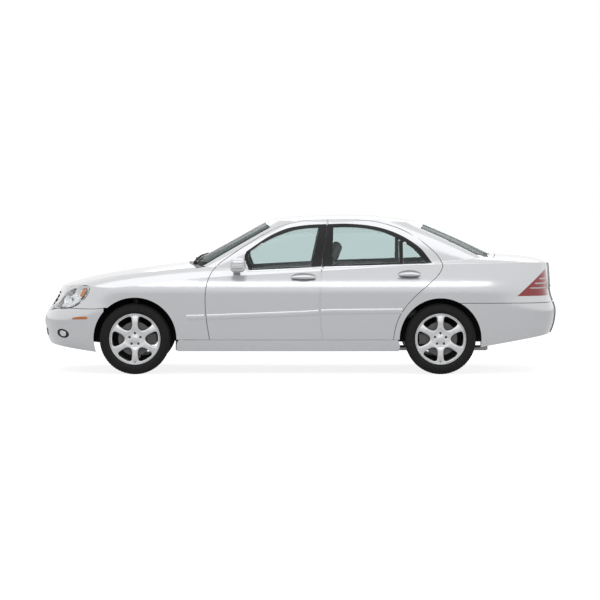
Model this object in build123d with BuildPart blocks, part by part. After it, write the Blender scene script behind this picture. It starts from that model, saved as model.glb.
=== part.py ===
"""A full-size four-door luxury sedan, built as an assembly of separate panels, glass, lamps,
wheels, axles and seats.

Frame: millimetres, +Z up, the front of the car towards -X, its left side towards -Y.
The origin is on the ground, under the middle of the car's length and width.
Paired pieces are modelled on the right (+Y) and mirrored to the left.
"""

import os
from math import cos, dist, radians, sin, sqrt

from build123d import *

os.makedirs("parts", exist_ok=True)

# ---------------------------------------------------------------- driving dimensions
WHEELBASE = 2965.0
FRONT_OVERHANG = 920.0
REAR_OVERHANG = 1158.0
BODY_WIDTH = 1855.0
BODY_HEIGHT = 1532.0
TRACK = 1570.0

TYRE_RADIUS = 344.0
TYRE_WIDTH = 238.0
RIM_RADIUS = 247.0
RIM_WALL = 9.0
ARCH_RADIUS = 404.0
ARCH_RADIUS_REAR = 397.0
LINER_WALL = 8.0
LINER_GAP = 14.0
SIDE_SHELL_IN = 820.0

PANEL_GAP = 5.5
SEAM = 0.8
SILL_DEPTH = 27.0
SILL_BOTTOM = 246.0
JACK_PAD = 10.0
JACK_AT = (-950.0, 800.0)
SEAT_GAP = 0.3
SKIN = 30.0
DOOR_THICKNESS = 96.0
FRAME_THICKNESS = 46.0
ROOF_THICKNESS = 34.0
GLASS_THICKNESS = 6.0
GLASS_RECESS = 7.0
GLASS_SEAT = 0.3
DOOR_SKIN = 26.0
DOOR_REBATE = 12.0
PILLAR_HALF_WIDTH = 58.0
CORNER_SWING = 17.0
SEAL_HALF_WIDTH = 16.0

FLOOR_Z = 240.0
FLOOR_THICKNESS = 24.0
DECK_Z = 446.0
DISC_RADIUS = 165.0
DISC_THICKNESS = 28.0
HUB_RADIUS = 72.0
HUB_BORE = 27.0
BOLT_CIRCLE = 112.0
BOLT_HOLE = 7.5
CENTRE_BORE = 33.3
KINGPIN_INSET = 45.0

# The shapes below are drawn on a design car with these measures, and mapped to the ones above.
DESIGN_WHEELBASE = 2965.0
DESIGN_FRONT = 920.0
DESIGN_REAR = 1158.0
DESIGN_WIDTH = 1855.0
DESIGN_HEIGHT = 1532.0
DESIGN_LENGTH = DESIGN_FRONT + DESIGN_WHEELBASE + DESIGN_REAR

LENGTH = FRONT_OVERHANG + WHEELBASE + REAR_OVERHANG
FRONT_AXLE = -LENGTH / 2 + FRONT_OVERHANG
REAR_AXLE = LENGTH / 2 - REAR_OVERHANG
DESIGN_FRONT_AXLE = -DESIGN_LENGTH / 2 + DESIGN_FRONT
DESIGN_REAR_AXLE = DESIGN_LENGTH / 2 - DESIGN_REAR
WHEEL_Y = TRACK / 2


def at(x):
    """A design station along the car, mapped between the axles or into an overhang."""
    if x < DESIGN_FRONT_AXLE:
        return FRONT_AXLE + (x - DESIGN_FRONT_AXLE) * FRONT_OVERHANG / DESIGN_FRONT
    if x > DESIGN_REAR_AXLE:
        return REAR_AXLE + (x - DESIGN_REAR_AXLE) * REAR_OVERHANG / DESIGN_REAR
    return FRONT_AXLE + (x - DESIGN_FRONT_AXLE) * WHEELBASE / DESIGN_WHEELBASE


def out(y):
    """A design half width, mapped to the car's width."""
    return y * BODY_WIDTH / DESIGN_WIDTH


def up(z):
    """A design height, mapped to the car's height."""
    return z * BODY_HEIGHT / DESIGN_HEIGHT


def flow(knots, value):
    """A smooth curve through (station, value) knots, by cubic Hermite pieces."""
    slopes = []
    for i in range(len(knots)):
        a = knots[max(i - 1, 0)]
        b = knots[min(i + 1, len(knots) - 1)]
        slopes.append((b[1] - a[1]) / (b[0] - a[0]))
    for (a, va), (b, vb), ma, mb in zip(knots, knots[1:], slopes, slopes[1:]):
        if value <= b or b == knots[-1][0]:
            t = (value - a) / (b - a)
            return (
                (1 + 2 * t) * (1 - t) ** 2 * va
                + t * (1 - t) ** 2 * (b - a) * ma
                + t * t * (3 - 2 * t) * vb
                + t * t * (t - 1) * (b - a) * mb
            )


def even(low, high, count):
    return [low + (high - low) * i / (count - 1) for i in range(count)]


# ---------------------------------------------------------------- lines of the body
# Nose and tail of the lower body at the centre line, and its half width, by height.
NOSE_LINE = [(150, -2360), (235, -2440), (300, -2486), (400, -2512), (520, -2522), (600, -2497)]
NOSE_LINE += [(690, -2424), (820, -2362), (900, -2306), (1000, -2230), (1100, -2150), (1210, -2060)]
TAIL_LINE = [(150, 2400), (235, 2420), (330, 2452), (430, 2494), (520, 2518), (640, 2520)]
TAIL_LINE += [(720, 2488), (800, 2468), (900, 2464), (1000, 2458), (1100, 2448), (1210, 2434)]
SIDE_LINE = [(150, 846), (235, 872), (340, 894), (500, 912), (640, 922), (760, 927.5), (840, 926.5)]
SIDE_LINE += [(900, 914), (980, 882), (1060, 846), (1210, 780)]
LOWER_LEVELS = even(150, 1210, 17)

# Height of the bonnet and boot at the centre line, and of the shoulder line, by station.
CENTRE_LINE = [(-2800, 500), (-2520, 740), (-2400, 812), (-2262, 872), (-2108, 914), (-1810, 973)]
CENTRE_LINE += [(-1450, 1027), (-1153, 1064), (-900, 1092), (-300, 1125), (600, 1150), (1500, 1160)]
CENTRE_LINE += [(1890, 1152), (2187, 1130), (2330, 1114), (2420, 1086), (2560, 1000), (2800, 760)]
SHOULDER_LINE = [(-2800, 380), (-2520, 640), (-2400, 730), (-2262, 805), (-2108, 858), (-1810, 926)]
SHOULDER_LINE += [(-1450, 975), (-1153, 1006), (-900, 1024), (-300, 1050), (600, 1082), (1500, 1100)]
SHOULDER_LINE += [(1890, 1092), (2187, 1072), (2330, 1058), (2420, 1030), (2560, 940), (2800, 700)]
CROWN_STATIONS = even(-2700, 2700, 25)

# Windscreen, rear window and half width of the cabin's glasshouse, by height.
SCREEN_LINE = [(880, -1420), (1000, -1192), (1100, -1008), (1200, -824), (1300, -641), (1400, -460)]
SCREEN_LINE += [(1480, -312), (1600, -90)]
BACKLIGHT_LINE = [(880, 2180), (1000, 2080), (1100, 1965), (1200, 1772), (1300, 1560), (1400, 1330)]
BACKLIGHT_LINE += [(1480, 1140), (1600, 860)]
GLASS_SIDE_LINE = [(880, 846), (1000, 832), (1100, 808), (1200, 771), (1300, 724), (1400, 666)]
GLASS_SIDE_LINE += [(1480, 610), (1600, 520)]
CABIN_LEVELS = even(880, 1600, 10)

# Height of the roof at its centre line, by station.
ROOF_LINE = [(-1200, 1300), (-800, 1390), (-378, 1466), (-200, 1503), (40, 1523), (330, 1532)]
ROOF_LINE += [(636, 1531), (875, 1513), (1114, 1480), (1400, 1428), (1900, 1310), (2300, 1200)]
ROOF_STATIONS = even(-1300, 2200, 18)


# ---------------------------------------------------------------- volumes of the body
def lofted(sections, tangents):
    """A solid through (plane, points, corners) sections: a smooth curve through the points, closed
    by straight lines past the corners. All the curves share their knots, so the surface is light."""
    steps = [[dist(a, b) for a, b in zip(points, points[1:])] for _, points, _ in sections]
    shares = [0.0]
    for i in range(len(steps[0])):
        shares.append(shares[-1] + sum(step[i] / sum(step) for step in steps) / len(steps))
    with BuildPart() as volume:
        for plane, points, corners in sections:
            curve = Edge.make_spline(
                [Vector(*point) for point in points], [Vector(*way) for way in tangents], parameters=shares
            )
            with BuildSketch(plane):
                with BuildLine():
                    add(curve)
                    Polyline(curve @ 1, *corners, curve @ 0)
                make_face()
        loft()
    return volume.part


def lower_volume(nose=0.0, tail=0.0, side=0.0):
    """Right half of the body below the belt, each wall moved in by the given amount."""
    sections = []
    for z in LOWER_LEVELS:
        x0 = at(flow(NOSE_LINE, z)) + nose
        x1 = at(flow(TAIL_LINE, z)) - tail
        w = out(flow(SIDE_LINE, z)) - side
        points = [(x0, 0), (x0 + 26, 0.34 * w), (x0 + 128, 0.68 * w), (x0 + 330, 0.895 * w)]
        points += [(at(-1600), 0.982 * w), (at(-650), w), (at(650), w), (at(1400), 0.984 * w)]
        points += [(x1 - 450, 0.945 * w), (x1 - 210, 0.86 * w), (x1 - 72, 0.69 * w)]
        points += [(x1 - 14, 0.36 * w), (x1, 0)]
        sections.append((Plane.XY.offset(up(z)), points, []))
    return lofted(sections, [(0, 1), (0, -1)])


def crown_volume(drop=0.0):
    """Everything under the bonnet, shoulders and boot, right half."""
    sections = []
    for x in CROWN_STATIONS:
        centre = up(flow(CENTRE_LINE, x)) - drop
        fall = centre - (up(flow(SHOULDER_LINE, x)) - drop)
        points = [(0, centre), (out(300), centre - 0.08 * fall), (out(560), centre - 0.36 * fall)]
        points += [(out(770), centre - fall), (out(880), centre - fall - 68)]
        points += [(out(1000), centre - fall - 196)]
        sections.append((Plane.YZ.offset(at(x)), points, [(out(1000), 0), (0, 0)]))
    return lofted(sections, [(1, 0), (0.66, -0.75)])


def cabin_volume(screen=0.0, backlight=0.0, side=0.0):
    """Right half of the glasshouse, before its roof is cut."""
    sections = []
    for z in CABIN_LEVELS:
        x0 = at(flow(SCREEN_LINE, z)) + screen
        x1 = at(flow(BACKLIGHT_LINE, z)) - backlight
        w = out(flow(GLASS_SIDE_LINE, z)) - side
        run = x1 - x0
        side_run = run - 480
        points = [(x0, 0), (x0 + 34, 0.40 * w), (x0 + 122, 0.73 * w), (x0 + 240, 0.895 * w)]
        points += [(x0 + 240 + 0.09 * side_run, 0.947 * w), (x0 + 240 + 0.25 * side_run, 0.983 * w)]
        points += [(x0 + 0.52 * run, w), (x1 - 262 - 0.25 * side_run, 0.974 * w)]
        points += [(x1 - 262 - 0.09 * side_run, 0.937 * w), (x1 - 262, 0.885 * w)]
        points += [(x1 - 122, 0.73 * w), (x1 - 34, 0.40 * w), (x1, 0)]
        sections.append((Plane.XY.offset(up(z)), points, []))
    return lofted(sections, [(0, 1), (0, -1)])


def roof_volume(drop=0.0):
    """Everything under the roof, right half."""
    sections = []
    for x in ROOF_STATIONS:
        top = up(flow(ROOF_LINE, x)) - drop
        points = [(0, top), (out(250), top - 5), (out(430), top - 16), (out(540), top - 31)]
        points += [(out(610), top - 56), (out(670), top - 100), (out(720), top - 160)]
        sections.append((Plane.YZ.offset(at(x)), points, [(out(1000), up(700)), (0, up(700))]))
    return lofted(sections, [(1, 0), (0.60, -0.80)])


def side_prism(points, near=0.0, far=1100.0, grow=0.0, curved=True):
    """A closed side-view outline, drawn through (x, z) points, extruded from near to far."""
    with BuildPart() as prism:
        with BuildSketch(Plane.XZ.offset(-far)):
            with BuildLine():
                if curved:
                    Spline(*points, periodic=True)
                else:
                    Polyline(*points, close=True)
            make_face()
            if grow:
                offset(amount=grow, kind=Kind.INTERSECTION)
        extrude(amount=far - near)
    return prism.part


def plan_prism(points, low=0.0, high=1700.0, grow=0.0):
    """A closed plan-view outline through (x, y) points, extruded from low to high."""
    with BuildPart() as prism:
        with BuildSketch(Plane.XY.offset(low)):
            with BuildLine():
                Polyline(*points, close=True)
            make_face()
            if grow:
                offset(amount=grow, kind=Kind.INTERSECTION)
        extrude(amount=high - low)
    return prism.part


def block(x0, x1, y0, y1, z0, z1):
    """A box between two corners."""
    with BuildPart() as made:
        with Locations(((x0 + x1) / 2, (y0 + y1) / 2, (z0 + z1) / 2)):
            Box(abs(x1 - x0), abs(y1 - y0), abs(z1 - z0))
    return made.part


def drum(x, z, radius, y0, y1):
    """A cylinder across the car, from y0 to y1."""
    with BuildPart() as made:
        with BuildSketch(Plane.XZ.offset(-y1)):
            with Locations((x, z)):
                Circle(radius)
        extrude(amount=y1 - y0)
    return made.part


def drum_up(x, y, radius, z0, z1):
    """A standing cylinder, from z0 to z1."""
    with BuildPart() as made:
        with BuildSketch(Plane.XY.offset(z0)):
            with Locations((x, y)):
                Circle(radius)
        extrude(amount=z1 - z0)
    return made.part


def grown(runs, amount):
    """Joined runs moved outward from the area they enclose, their corners met again."""
    if not amount:
        return runs
    loop = [p for run in runs for p in run[:-1]]
    area = sum(a[0] * b[1] - b[0] * a[1] for a, b in zip(loop, loop[1:] + loop[:1]))
    side = amount if area > 0 else -amount
    moved, heads, tails = [], [], []
    for run in runs:
        ways = []
        for i in range(len(run)):
            a, b = run[max(i - 1, 0)], run[min(i + 1, len(run) - 1)]
            length = sqrt((b[0] - a[0]) ** 2 + (b[1] - a[1]) ** 2)
            ways.append(((b[0] - a[0]) / length, (b[1] - a[1]) / length))
        moved.append([(p[0] + w[1] * side, p[1] - w[0] * side) for p, w in zip(run, ways)])
        heads.append(ways[0])
        tails.append(ways[-1])
    for i in range(len(runs)):
        j = (i + 1) % len(runs)
        (ax, ay), (dx, dy) = moved[i][-1], tails[i]
        (bx, by), (ex, ey) = moved[j][0], heads[j]
        turn = dx * ey - dy * ex
        if abs(turn) < 0.05:
            corner = ((ax + bx) / 2, (ay + by) / 2)
        else:
            reach = ((bx - ax) * ey - (by - ay) * ex) / turn
            corner = (ax + dx * reach, ay + dy * reach)
        moved[i][-1] = corner
        moved[j][0] = corner
    return moved


def runs_solid(plane, runs, depth):
    """Joined runs, each a straight line or a smooth curve, as a face on the plane, extruded."""
    with BuildPart() as prism:
        with BuildSketch(plane):
            with BuildLine():
                for run in runs:
                    if len(run) == 2:
                        Line(*run)
                    else:
                        Spline(*run)
            make_face()
        extrude(amount=depth)
    return prism.part


def runs_prism(*runs, near=0.0, far=1100.0, grow=0.0):
    """A side-view outline of joined runs, grown if asked and extruded from near to far."""
    placed = [[(at(x), up(z)) for x, z in run] for run in grown(runs, grow)]
    return runs_solid(Plane.XZ.offset(-far), placed, far - near)


def plan_runs(*runs, low=0.0, high=1700.0, grow=0.0):
    """A plan-view outline of joined runs, grown if asked and extruded from low to high."""
    placed = [[(at(x), out(y)) for x, y in run] for run in grown(runs, grow)]
    return runs_solid(Plane.XY.offset(low), placed, high - low)


# ---------------------------------------------------------------- outlines of the panels
SILL_TOP = 338.0
FRONT_DOOR_EDGE = [(-874, SILL_TOP), (-897, 480), (-914, 640), (-915, 780), (-902, 870), (-868, 965)]
FRONT_DOOR_EDGE += [(-806, 1050), (-720, 1117), (-600, 1198), (-470, 1281), (-330, 1364)]
FRONT_DOOR_EDGE += [(-190, 1428), (-40, 1469), (110, 1490), (262, 1497)]
B_LINE = [(262, 1497), (236, 1280), (209, 1054), (194, 820), (190, 629), (199, 484), (220, SILL_TOP)]
REAR_DOOR_TOP = [(262, 1497), (430, 1498), (600, 1490), (760, 1470), (900, 1433), (1030, 1381)]
REAR_DOOR_TOP += [(1150, 1312), (1262, 1224), (1346, 1136), (1384, 1055)]
REAR_DOOR_EDGE = [(1384, 1055), (1345, 975), (1262, 892), (1150, 795), (1040, 680), (965, 570)]
REAR_DOOR_EDGE += [(922, 450), (905, SILL_TOP)]
FRONT_DOOR = [FRONT_DOOR_EDGE, B_LINE, [B_LINE[-1], FRONT_DOOR_EDGE[0]]]
REAR_DOOR = [REAR_DOOR_TOP, REAR_DOOR_EDGE, [REAR_DOOR_EDGE[-1], B_LINE[-1]], B_LINE[::-1]]

# The dark band round the side windows, and the glass inside it.
FRONT_GLASS = [[(-470, 1022), (-506, 1128), (-488, 1180)]]
FRONT_GLASS += [[(-488, 1180), (-341, 1280), (-215, 1340), (-60, 1392), (90, 1414), (190, 1418)]]
FRONT_GLASS += [[(190, 1418), (110, 1052)], [(110, 1052), (-470, 1022)]]
REAR_GLASS = [[(326, 1420), (450, 1424), (600, 1416), (740, 1393), (860, 1356), (962, 1306)]]
REAR_GLASS += [[(962, 1306), (962, 1082)], [(962, 1082), (312, 1062)], [(312, 1062), (326, 1420)]]
QUARTER_GLASS = [[(1002, 1284), (1090, 1226), (1170, 1156), (1228, 1092)]]
QUARTER_GLASS += [[(1228, 1092), (1002, 1084)], [(1002, 1084), (1002, 1284)]]

BONNET_REAR = [(-1098, -20), (-1088, 300), (-1056, 560), (-1006, 742)]
BONNET_SIDE = [(-1006, 742), (-1500, 728), (-1900, 694), (-2180, 630), (-2330, 520), (-2420, 372)]
BONNET = [BONNET_REAR, BONNET_SIDE, [(-2420, 372), (-2620, 372)]]
BONNET += [[(-2620, 372), (-2620, -20)], [(-2620, -20), (-1098, -20)]]
BOOT_SIDE = [(1884, 652), (2050, 642), (2220, 610), (2350, 546)]
BOOT_FRONT = [(1930, -20), (1922, 300), (1884, 652)]
BOOT = [BOOT_FRONT, BOOT_SIDE, [(2350, 546), (2620, 546)], [(2620, 546), (2620, -20)], [(2620, -20), (1930, -20)]]
COWL = [BONNET_REAR, [(-1006, 742), (-890, 700)], [(-890, 700), (-960, 560), (-1000, 300), (-1012, -20)]]
COWL += [[(-1012, -20), (-1098, -20)]]
BUMPER_TOP = [(-2620, 578), (-2500, 592), (-2400, 626), (-2230, 642), (-1900, 648)]
ABOVE_BUMPER = [BUMPER_TOP, [(-1900, 648), (-1500, 648)], [(-1500, 648), (-1500, 330)]]
ABOVE_BUMPER += [[(-1500, 330), (-600, 330)], [(-600, 330), (-600, 1300)], [(-600, 1300), (-2620, 1300)]]
ABOVE_BUMPER += [[(-2620, 1300), (-2620, 578)]]
FRONT_BUMPER = [BUMPER_TOP, [(-1900, 648), (-1900, 205)], [(-1900, 205), (-2002, 213)]]
FRONT_BUMPER += [[(-2002, 213), (-2486, 279)], [(-2486, 279), (-2620, 290)], [(-2620, 290), (-2620, 578)]]
REAR_BUMPER = [[(1500, 690), (2620, 690)], [(2620, 690), (2620, 400)], [(2620, 400), (2400, 377)]]
REAR_BUMPER += [[(2400, 377), (1760, 266)], [(1760, 266), (1500, 250)], [(1500, 250), (1500, 690)]]
HEADLAMP = [[(-2412, 628), (-2330, 730), (-2235, 815), (-2140, 852), (-2062, 858), (-2040, 826)]]
HEADLAMP += [[(-2040, 826), (-2062, 770), (-2110, 710), (-2180, 660), (-2260, 634), (-2330, 626)]]
HEADLAMP += [[(-2330, 626), (-2412, 628)]]
TAIL_LAMP = [[(2402, 1022), (2560, 1010)], [(2560, 1010), (2560, 760)], [(2560, 760), (2108, 760)]]
TAIL_LAMP += [[(2108, 760), (2402, 1022)]]
SCREEN = [[(-1075, -20), (-1062, 300), (-1010, 560), (-930, 668)], [(-930, 668), (-292, 492)]]
SCREEN += [[(-292, 492), (-325, 300), (-345, -20)], [(-345, -20), (-1075, -20)]]
BACKLIGHT = [[(1215, -20), (1205, 300), (1180, 480)], [(1180, 480), (1720, 612)]]
BACKLIGHT += [[(1720, 612), (1830, 470), (1886, 250), (1898, -20)], [(1898, -20), (1215, -20)]]
ROOF = [[(-345, -20), (-325, 300), (-292, 492)], [(-292, 492), (0, 500), (500, 503), (900, 498), (1180, 480)]]
ROOF += [[(1180, 480), (1205, 300), (1215, -20)], [(1215, -20), (-345, -20)]]

# ---------------------------------------------------------------- the body's volumes
def union(*pieces):
    with BuildPart() as made:
        for piece in pieces:
            add(piece)
    return made.part


def common(*pieces):
    with BuildPart() as made:
        add(pieces[0])
        for piece in pieces[1:]:
            add(piece, mode=Mode.INTERSECT)
    return made.part


def cut(piece, *tools):
    with BuildPart() as made:
        add(piece)
        for tool in tools:
            add(tool, mode=Mode.SUBTRACT)
    return made.part


def both(piece):
    """The piece and its mirror image, in one."""
    return union(piece, mirror(piece, about=Plane.XZ))


def shape(skin=0.0, side=0.0, frame=0.0, roof=0.0):
    """The whole body inside its surface by the given depths, right half."""
    lower = common(lower_volume(skin, skin, side), crown_volume(skin))
    return union(lower, common(cabin_volume(frame, frame, frame), roof_volume(roof)))


whole = shape()
thin_inner = shape(SKIN, SKIN, FRAME_THICKNESS, ROOF_THICKNESS)
cavity = shape(SKIN, DOOR_THICKNESS, FRAME_THICKNESS, ROOF_THICKNESS)
door_mid = shape(DOOR_SKIN, DOOR_SKIN, 14, 14)
pillar_face = shape(DOOR_SKIN + 6, DOOR_SKIN + 6, 20, 20)
body_lower = common(lower_volume(), crown_volume())
lower_inner = common(lower_volume(SKIN, SKIN, SKIN), crown_volume(SKIN))


# ---------------------------------------------------------------- doors and the body side
front_arch = drum(FRONT_AXLE, TYRE_RADIUS, ARCH_RADIUS, 440, 1100)
rear_arch = drum(REAR_AXLE, TYRE_RADIUS, ARCH_RADIUS_REAR, 440, 1100)
RAIL_Y = 538.0
rail_in = out(RAIL_Y) - PANEL_GAP
openings = union(
    runs_prism(*FRONT_DOOR, near=rail_in, grow=PANEL_GAP), runs_prism(*REAR_DOOR, near=rail_in, grow=PANEL_GAP)
)


def along_b(reach):
    """The strip either side of the line where the doors meet."""
    fore = [(at(x) - reach, up(z)) for x, z in B_LINE]
    aft = [(at(x) + reach, up(z)) for x, z in B_LINE]
    fore[0], fore[-1] = (fore[0][0], up(1560)), (fore[-1][0], up(300))
    aft[0], aft[-1] = (aft[0][0], up(1560)), (aft[-1][0], up(300))
    return side_prism(fore + aft[::-1], near=rail_in - 34, curved=False)


strip = along_b(PILLAR_HALF_WIDTH + 17)


def door_shell(outline, keep_out, glass):
    """An outer skin and, inset from its edges, an inner layer, with the window cut out."""
    near = out(RAIL_Y)
    skin = cut(common(whole, runs_prism(*outline, near=near)), door_mid, *keep_out)
    inset = runs_prism(*outline, near=near, grow=-DOOR_REBATE)
    inner = cut(common(door_mid, inset), cavity, strip, *keep_out)
    return cut(union(skin, inner), *[runs_prism(*pane, near=near) for pane in glass])


front_door = door_shell(FRONT_DOOR, [], [FRONT_GLASS])
beside_front_door = runs_prism(*FRONT_DOOR, near=380, grow=PANEL_GAP + 3)
# The front door's upper corner lies far inside its hinge line, so it swings back as it opens.
corner_swing = block(at(200), at(B_LINE[0][0]) + CORNER_SWING, 380, 800, up(1455), up(1560))
rear_door = door_shell(REAR_DOOR, [beside_front_door, corner_swing], [REAR_GLASS, QUARTER_GLASS])

bonnet_zone = plan_runs(*BONNET)
bonnet_hole = plan_runs(*BONNET, grow=PANEL_GAP)
cowl_hole = plan_runs(*COWL, grow=PANEL_GAP)
boot_zone = plan_runs(*BOOT)
boot_hole = plan_runs(*BOOT, grow=PANEL_GAP)
roof_zone = plan_runs(*ROOF)
roof_hole = plan_runs(*ROOF, low=1000, grow=SEAM)
screen_zone = plan_runs(*SCREEN, low=900, grow=-SEAM / 2)
screen_hole = plan_runs(*SCREEN, low=900, grow=SEAM / 2)
backlight_zone = plan_runs(*BACKLIGHT, low=900, grow=-SEAM / 2)
backlight_hole = plan_runs(*BACKLIGHT, low=900, grow=SEAM / 2)
above_bumper = runs_prism(*ABOVE_BUMPER, near=-10)
headlamp_zone = runs_prism(*HEADLAMP, near=out(352), grow=-SEAM)
headlamp_hole = runs_prism(*HEADLAMP, near=out(352) - SEAM)
tail_lamp_zone = runs_prism(*TAIL_LAMP, near=out(553), grow=-SEAM)
tail_lamp_hole = runs_prism(*TAIL_LAMP, near=out(553) - SEAM)

side_shell = cut(common(whole, block(at(-1000), at(1450), 0, 1100, 338, 1700)), cavity)
quarter_shell = cut(common(whole, block(at(1449), at(2600), out(560), 1100, up(695.5), 1700)), thin_inner)
upper = union(side_shell, quarter_shell)
wing_zone = common(body_lower, block(at(-1100), at(-790), 0, 1100, 150, 1400))
upper = cut(upper, wing_zone, roof_hole, screen_hole, backlight_hole, boot_hole, tail_lamp_hole, openings, rear_arch)
sill = common(lower_volume(*[SILL_DEPTH] * 3), block(at(-1150), at(940), 690, 1100, SILL_BOTTOM, 333))
jack_pads = [block(at(x) - 45, at(x) + 45, out(745), out(815), SILL_BOTTOM - JACK_PAD, SILL_BOTTOM + 4) for x in JACK_AT]
sill = union(cut(sill, front_arch, rear_arch), *jack_pads)
a_post = common(pillar_face, block(at(-1010), at(-780), out(520), 1000, 250, up(1080)))
a_post = cut(a_post, cavity, openings, screen_hole, front_arch)
b_pillar = cut(common(pillar_face, along_b(PILLAR_HALF_WIDTH)), cavity, roof_hole)
door_seal = common(lower_volume(*[DOOR_SKIN + SEAT_GAP] * 3), along_b(SEAL_HALF_WIDTH), block(at(0), at(500), 600, 1100, 380, up(900)))
door_seal = cut(door_seal, pillar_face)
body_side = union(upper, sill, a_post, b_pillar, door_seal)

# ---------------------------------------------------------------- outer panels
nose = common(body_lower, above_bumper)
cabin_skin = common(cabin_volume(-1, -1, -1), roof_volume(-1))
fender_zone = block(at(-2600), at(-780), -10, 1100, 339, 1300)
below_lamp = block(at(-2620), at(-2290), -10, 900, 300, up(700))
fender = cut(common(nose, fender_zone), cabin_skin, bonnet_hole, cowl_hole, headlamp_hole, below_lamp)
fender = cut(fender, openings, front_arch, lower_inner)
bonnet_edge = plan_runs(*BONNET, grow=-3)
beside_bonnet = cut(block(at(-2620), at(-2050), -60, 800, 400, 1200), bonnet_edge)
bonnet = cut(common(nose, bonnet_zone), beside_bonnet, headlamp_hole, lower_inner)
front_bumper = common(body_lower, runs_prism(*FRONT_BUMPER, near=-10, grow=-PANEL_GAP))
front_bumper = cut(front_bumper, front_arch, headlamp_hole, lower_inner)
rear_bumper = cut(common(body_lower, runs_prism(*REAR_BUMPER, near=-10)), rear_arch, lower_inner)
roof = cut(common(whole, roof_zone, block(at(-500), at(1400), -10, 700, 1200, 1700)), thin_inner)
boot_zone = common(boot_zone, block(at(1800), at(2620), -10, 700, up(699), 1300))
boot_lid = cut(common(body_lower, boot_zone), lower_inner)
headlamp = cut(common(whole, headlamp_zone), common(lower_volume(6, 6, 6), crown_volume(6)))
tail_lamp = cut(common(whole, tail_lamp_zone), thin_inner)
cowl = cut(common(crown_volume(10), plan_runs(*COWL)), crown_volume(34), bonnet_hole, upper, a_post)
pane_outer = common(cabin_volume(2, 2, 2), roof_volume(2))
pane_inner = common(cabin_volume(2 + GLASS_THICKNESS, 2 + GLASS_THICKNESS, 2 + GLASS_THICKNESS), roof_volume(8))
below_glass = crown_volume(6)
windscreen = cut(common(pane_outer, screen_zone), pane_inner, below_glass)
rear_window = cut(common(pane_outer, backlight_zone), pane_inner, below_glass)
seat_outer = common(cabin_volume(GLASS_RECESS, GLASS_RECESS, GLASS_RECESS), roof_volume(GLASS_RECESS))
seat_inner = common(cabin_volume(13, 13, 13), roof_volume(13))
side_panes = cut(seat_outer, seat_inner)
front_glass = common(side_panes, runs_prism(*FRONT_GLASS, near=out(RAIL_Y), grow=-GLASS_SEAT))
rear_glass = common(side_panes, runs_prism(*REAR_GLASS, near=out(RAIL_Y), grow=-GLASS_SEAT))
quarter_glass = common(side_panes, runs_prism(*QUARTER_GLASS, near=out(RAIL_Y), grow=-GLASS_SEAT))
rear_deck = common(body_lower, block(at(1840), at(2000), -10, out(560) - SEAT_GAP, 900, 1300))
rear_deck = cut(rear_deck, crown_volume(SKIN), boot_hole, cabin_skin)

# The grille's frame in the bonnet, and its slats.
GRILLE_X = -2300.0


def grille_prism(inset=0.0, x0=-2620.0, x1=GRILLE_X):
    with BuildPart() as prism:
        with BuildSketch(Plane.YZ.offset(at(x0))):
            with BuildLine():
                low, high = up(604) + inset, up(800) - inset
                Polyline((-20, low), (252 - inset, low), (322 - inset, high - 24), (298 - inset, high), (-20, high), (-20, low))
            make_face()
        extrude(amount=at(x1) - at(x0))
    return prism.part


grille_face = cut(common(nose, grille_prism(1.2)), lower_inner)
recess = cut(common(body_lower, grille_prism(14)), lower_volume(16, 16, 16))
parts_of_grille = [cut(grille_face, recess)]
slat_volume = common(lower_volume(4, 4, 4), grille_prism(10))
for k in range(4):
    level = up(604 + 39 * (k + 1))
    slat = common(slat_volume, block(at(-2620), at(GRILLE_X), -10, 312, level - 6, level + 6))
    parts_of_grille.append(cut(slat, lower_inner))
bar = common(slat_volume, block(at(-2620), at(GRILLE_X), -10, 8, up(608), up(794)))
parts_of_grille.append(cut(bar, lower_inner))
grille = union(*parts_of_grille)
bonnet = cut(bonnet, grille_prism())


# ---------------------------------------------------------------- wheels
def ring(profile, x, y):
    """A closed (across, radius) profile turned about the wheel's axle at (x, y)."""
    with BuildPart() as made:
        with BuildSketch(Plane.YZ.offset(x)):
            with BuildLine():
                Polyline(*[(y + a, TYRE_RADIUS + r) for a, r in profile], close=True)
            make_face()
        revolve(axis=Axis((x, 0, TYRE_RADIUS), (0, 1, 0)))
    return made.part


def tyre(x, y):
    half = TYRE_WIDTH / 2
    bead = RIM_RADIUS + 0.4
    tall = TYRE_RADIUS - bead
    profile = [(-half + 18, bead), (-half + 4, bead + 0.18 * tall), (-half, bead + 0.42 * tall)]
    profile += [(-half + 5, bead + 0.68 * tall), (-half + 18, bead + 0.90 * tall), (-half + 34, TYRE_RADIUS - 1)]
    profile += [(-half * 0.45, TYRE_RADIUS), (half * 0.45, TYRE_RADIUS), (half - 34, TYRE_RADIUS - 1)]
    profile += [(half - 18, bead + 0.90 * tall), (half - 5, bead + 0.68 * tall), (half, bead + 0.42 * tall)]
    profile += [(half - 4, bead + 0.18 * tall), (half - 18, bead)]
    return ring(profile, x, y)


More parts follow.
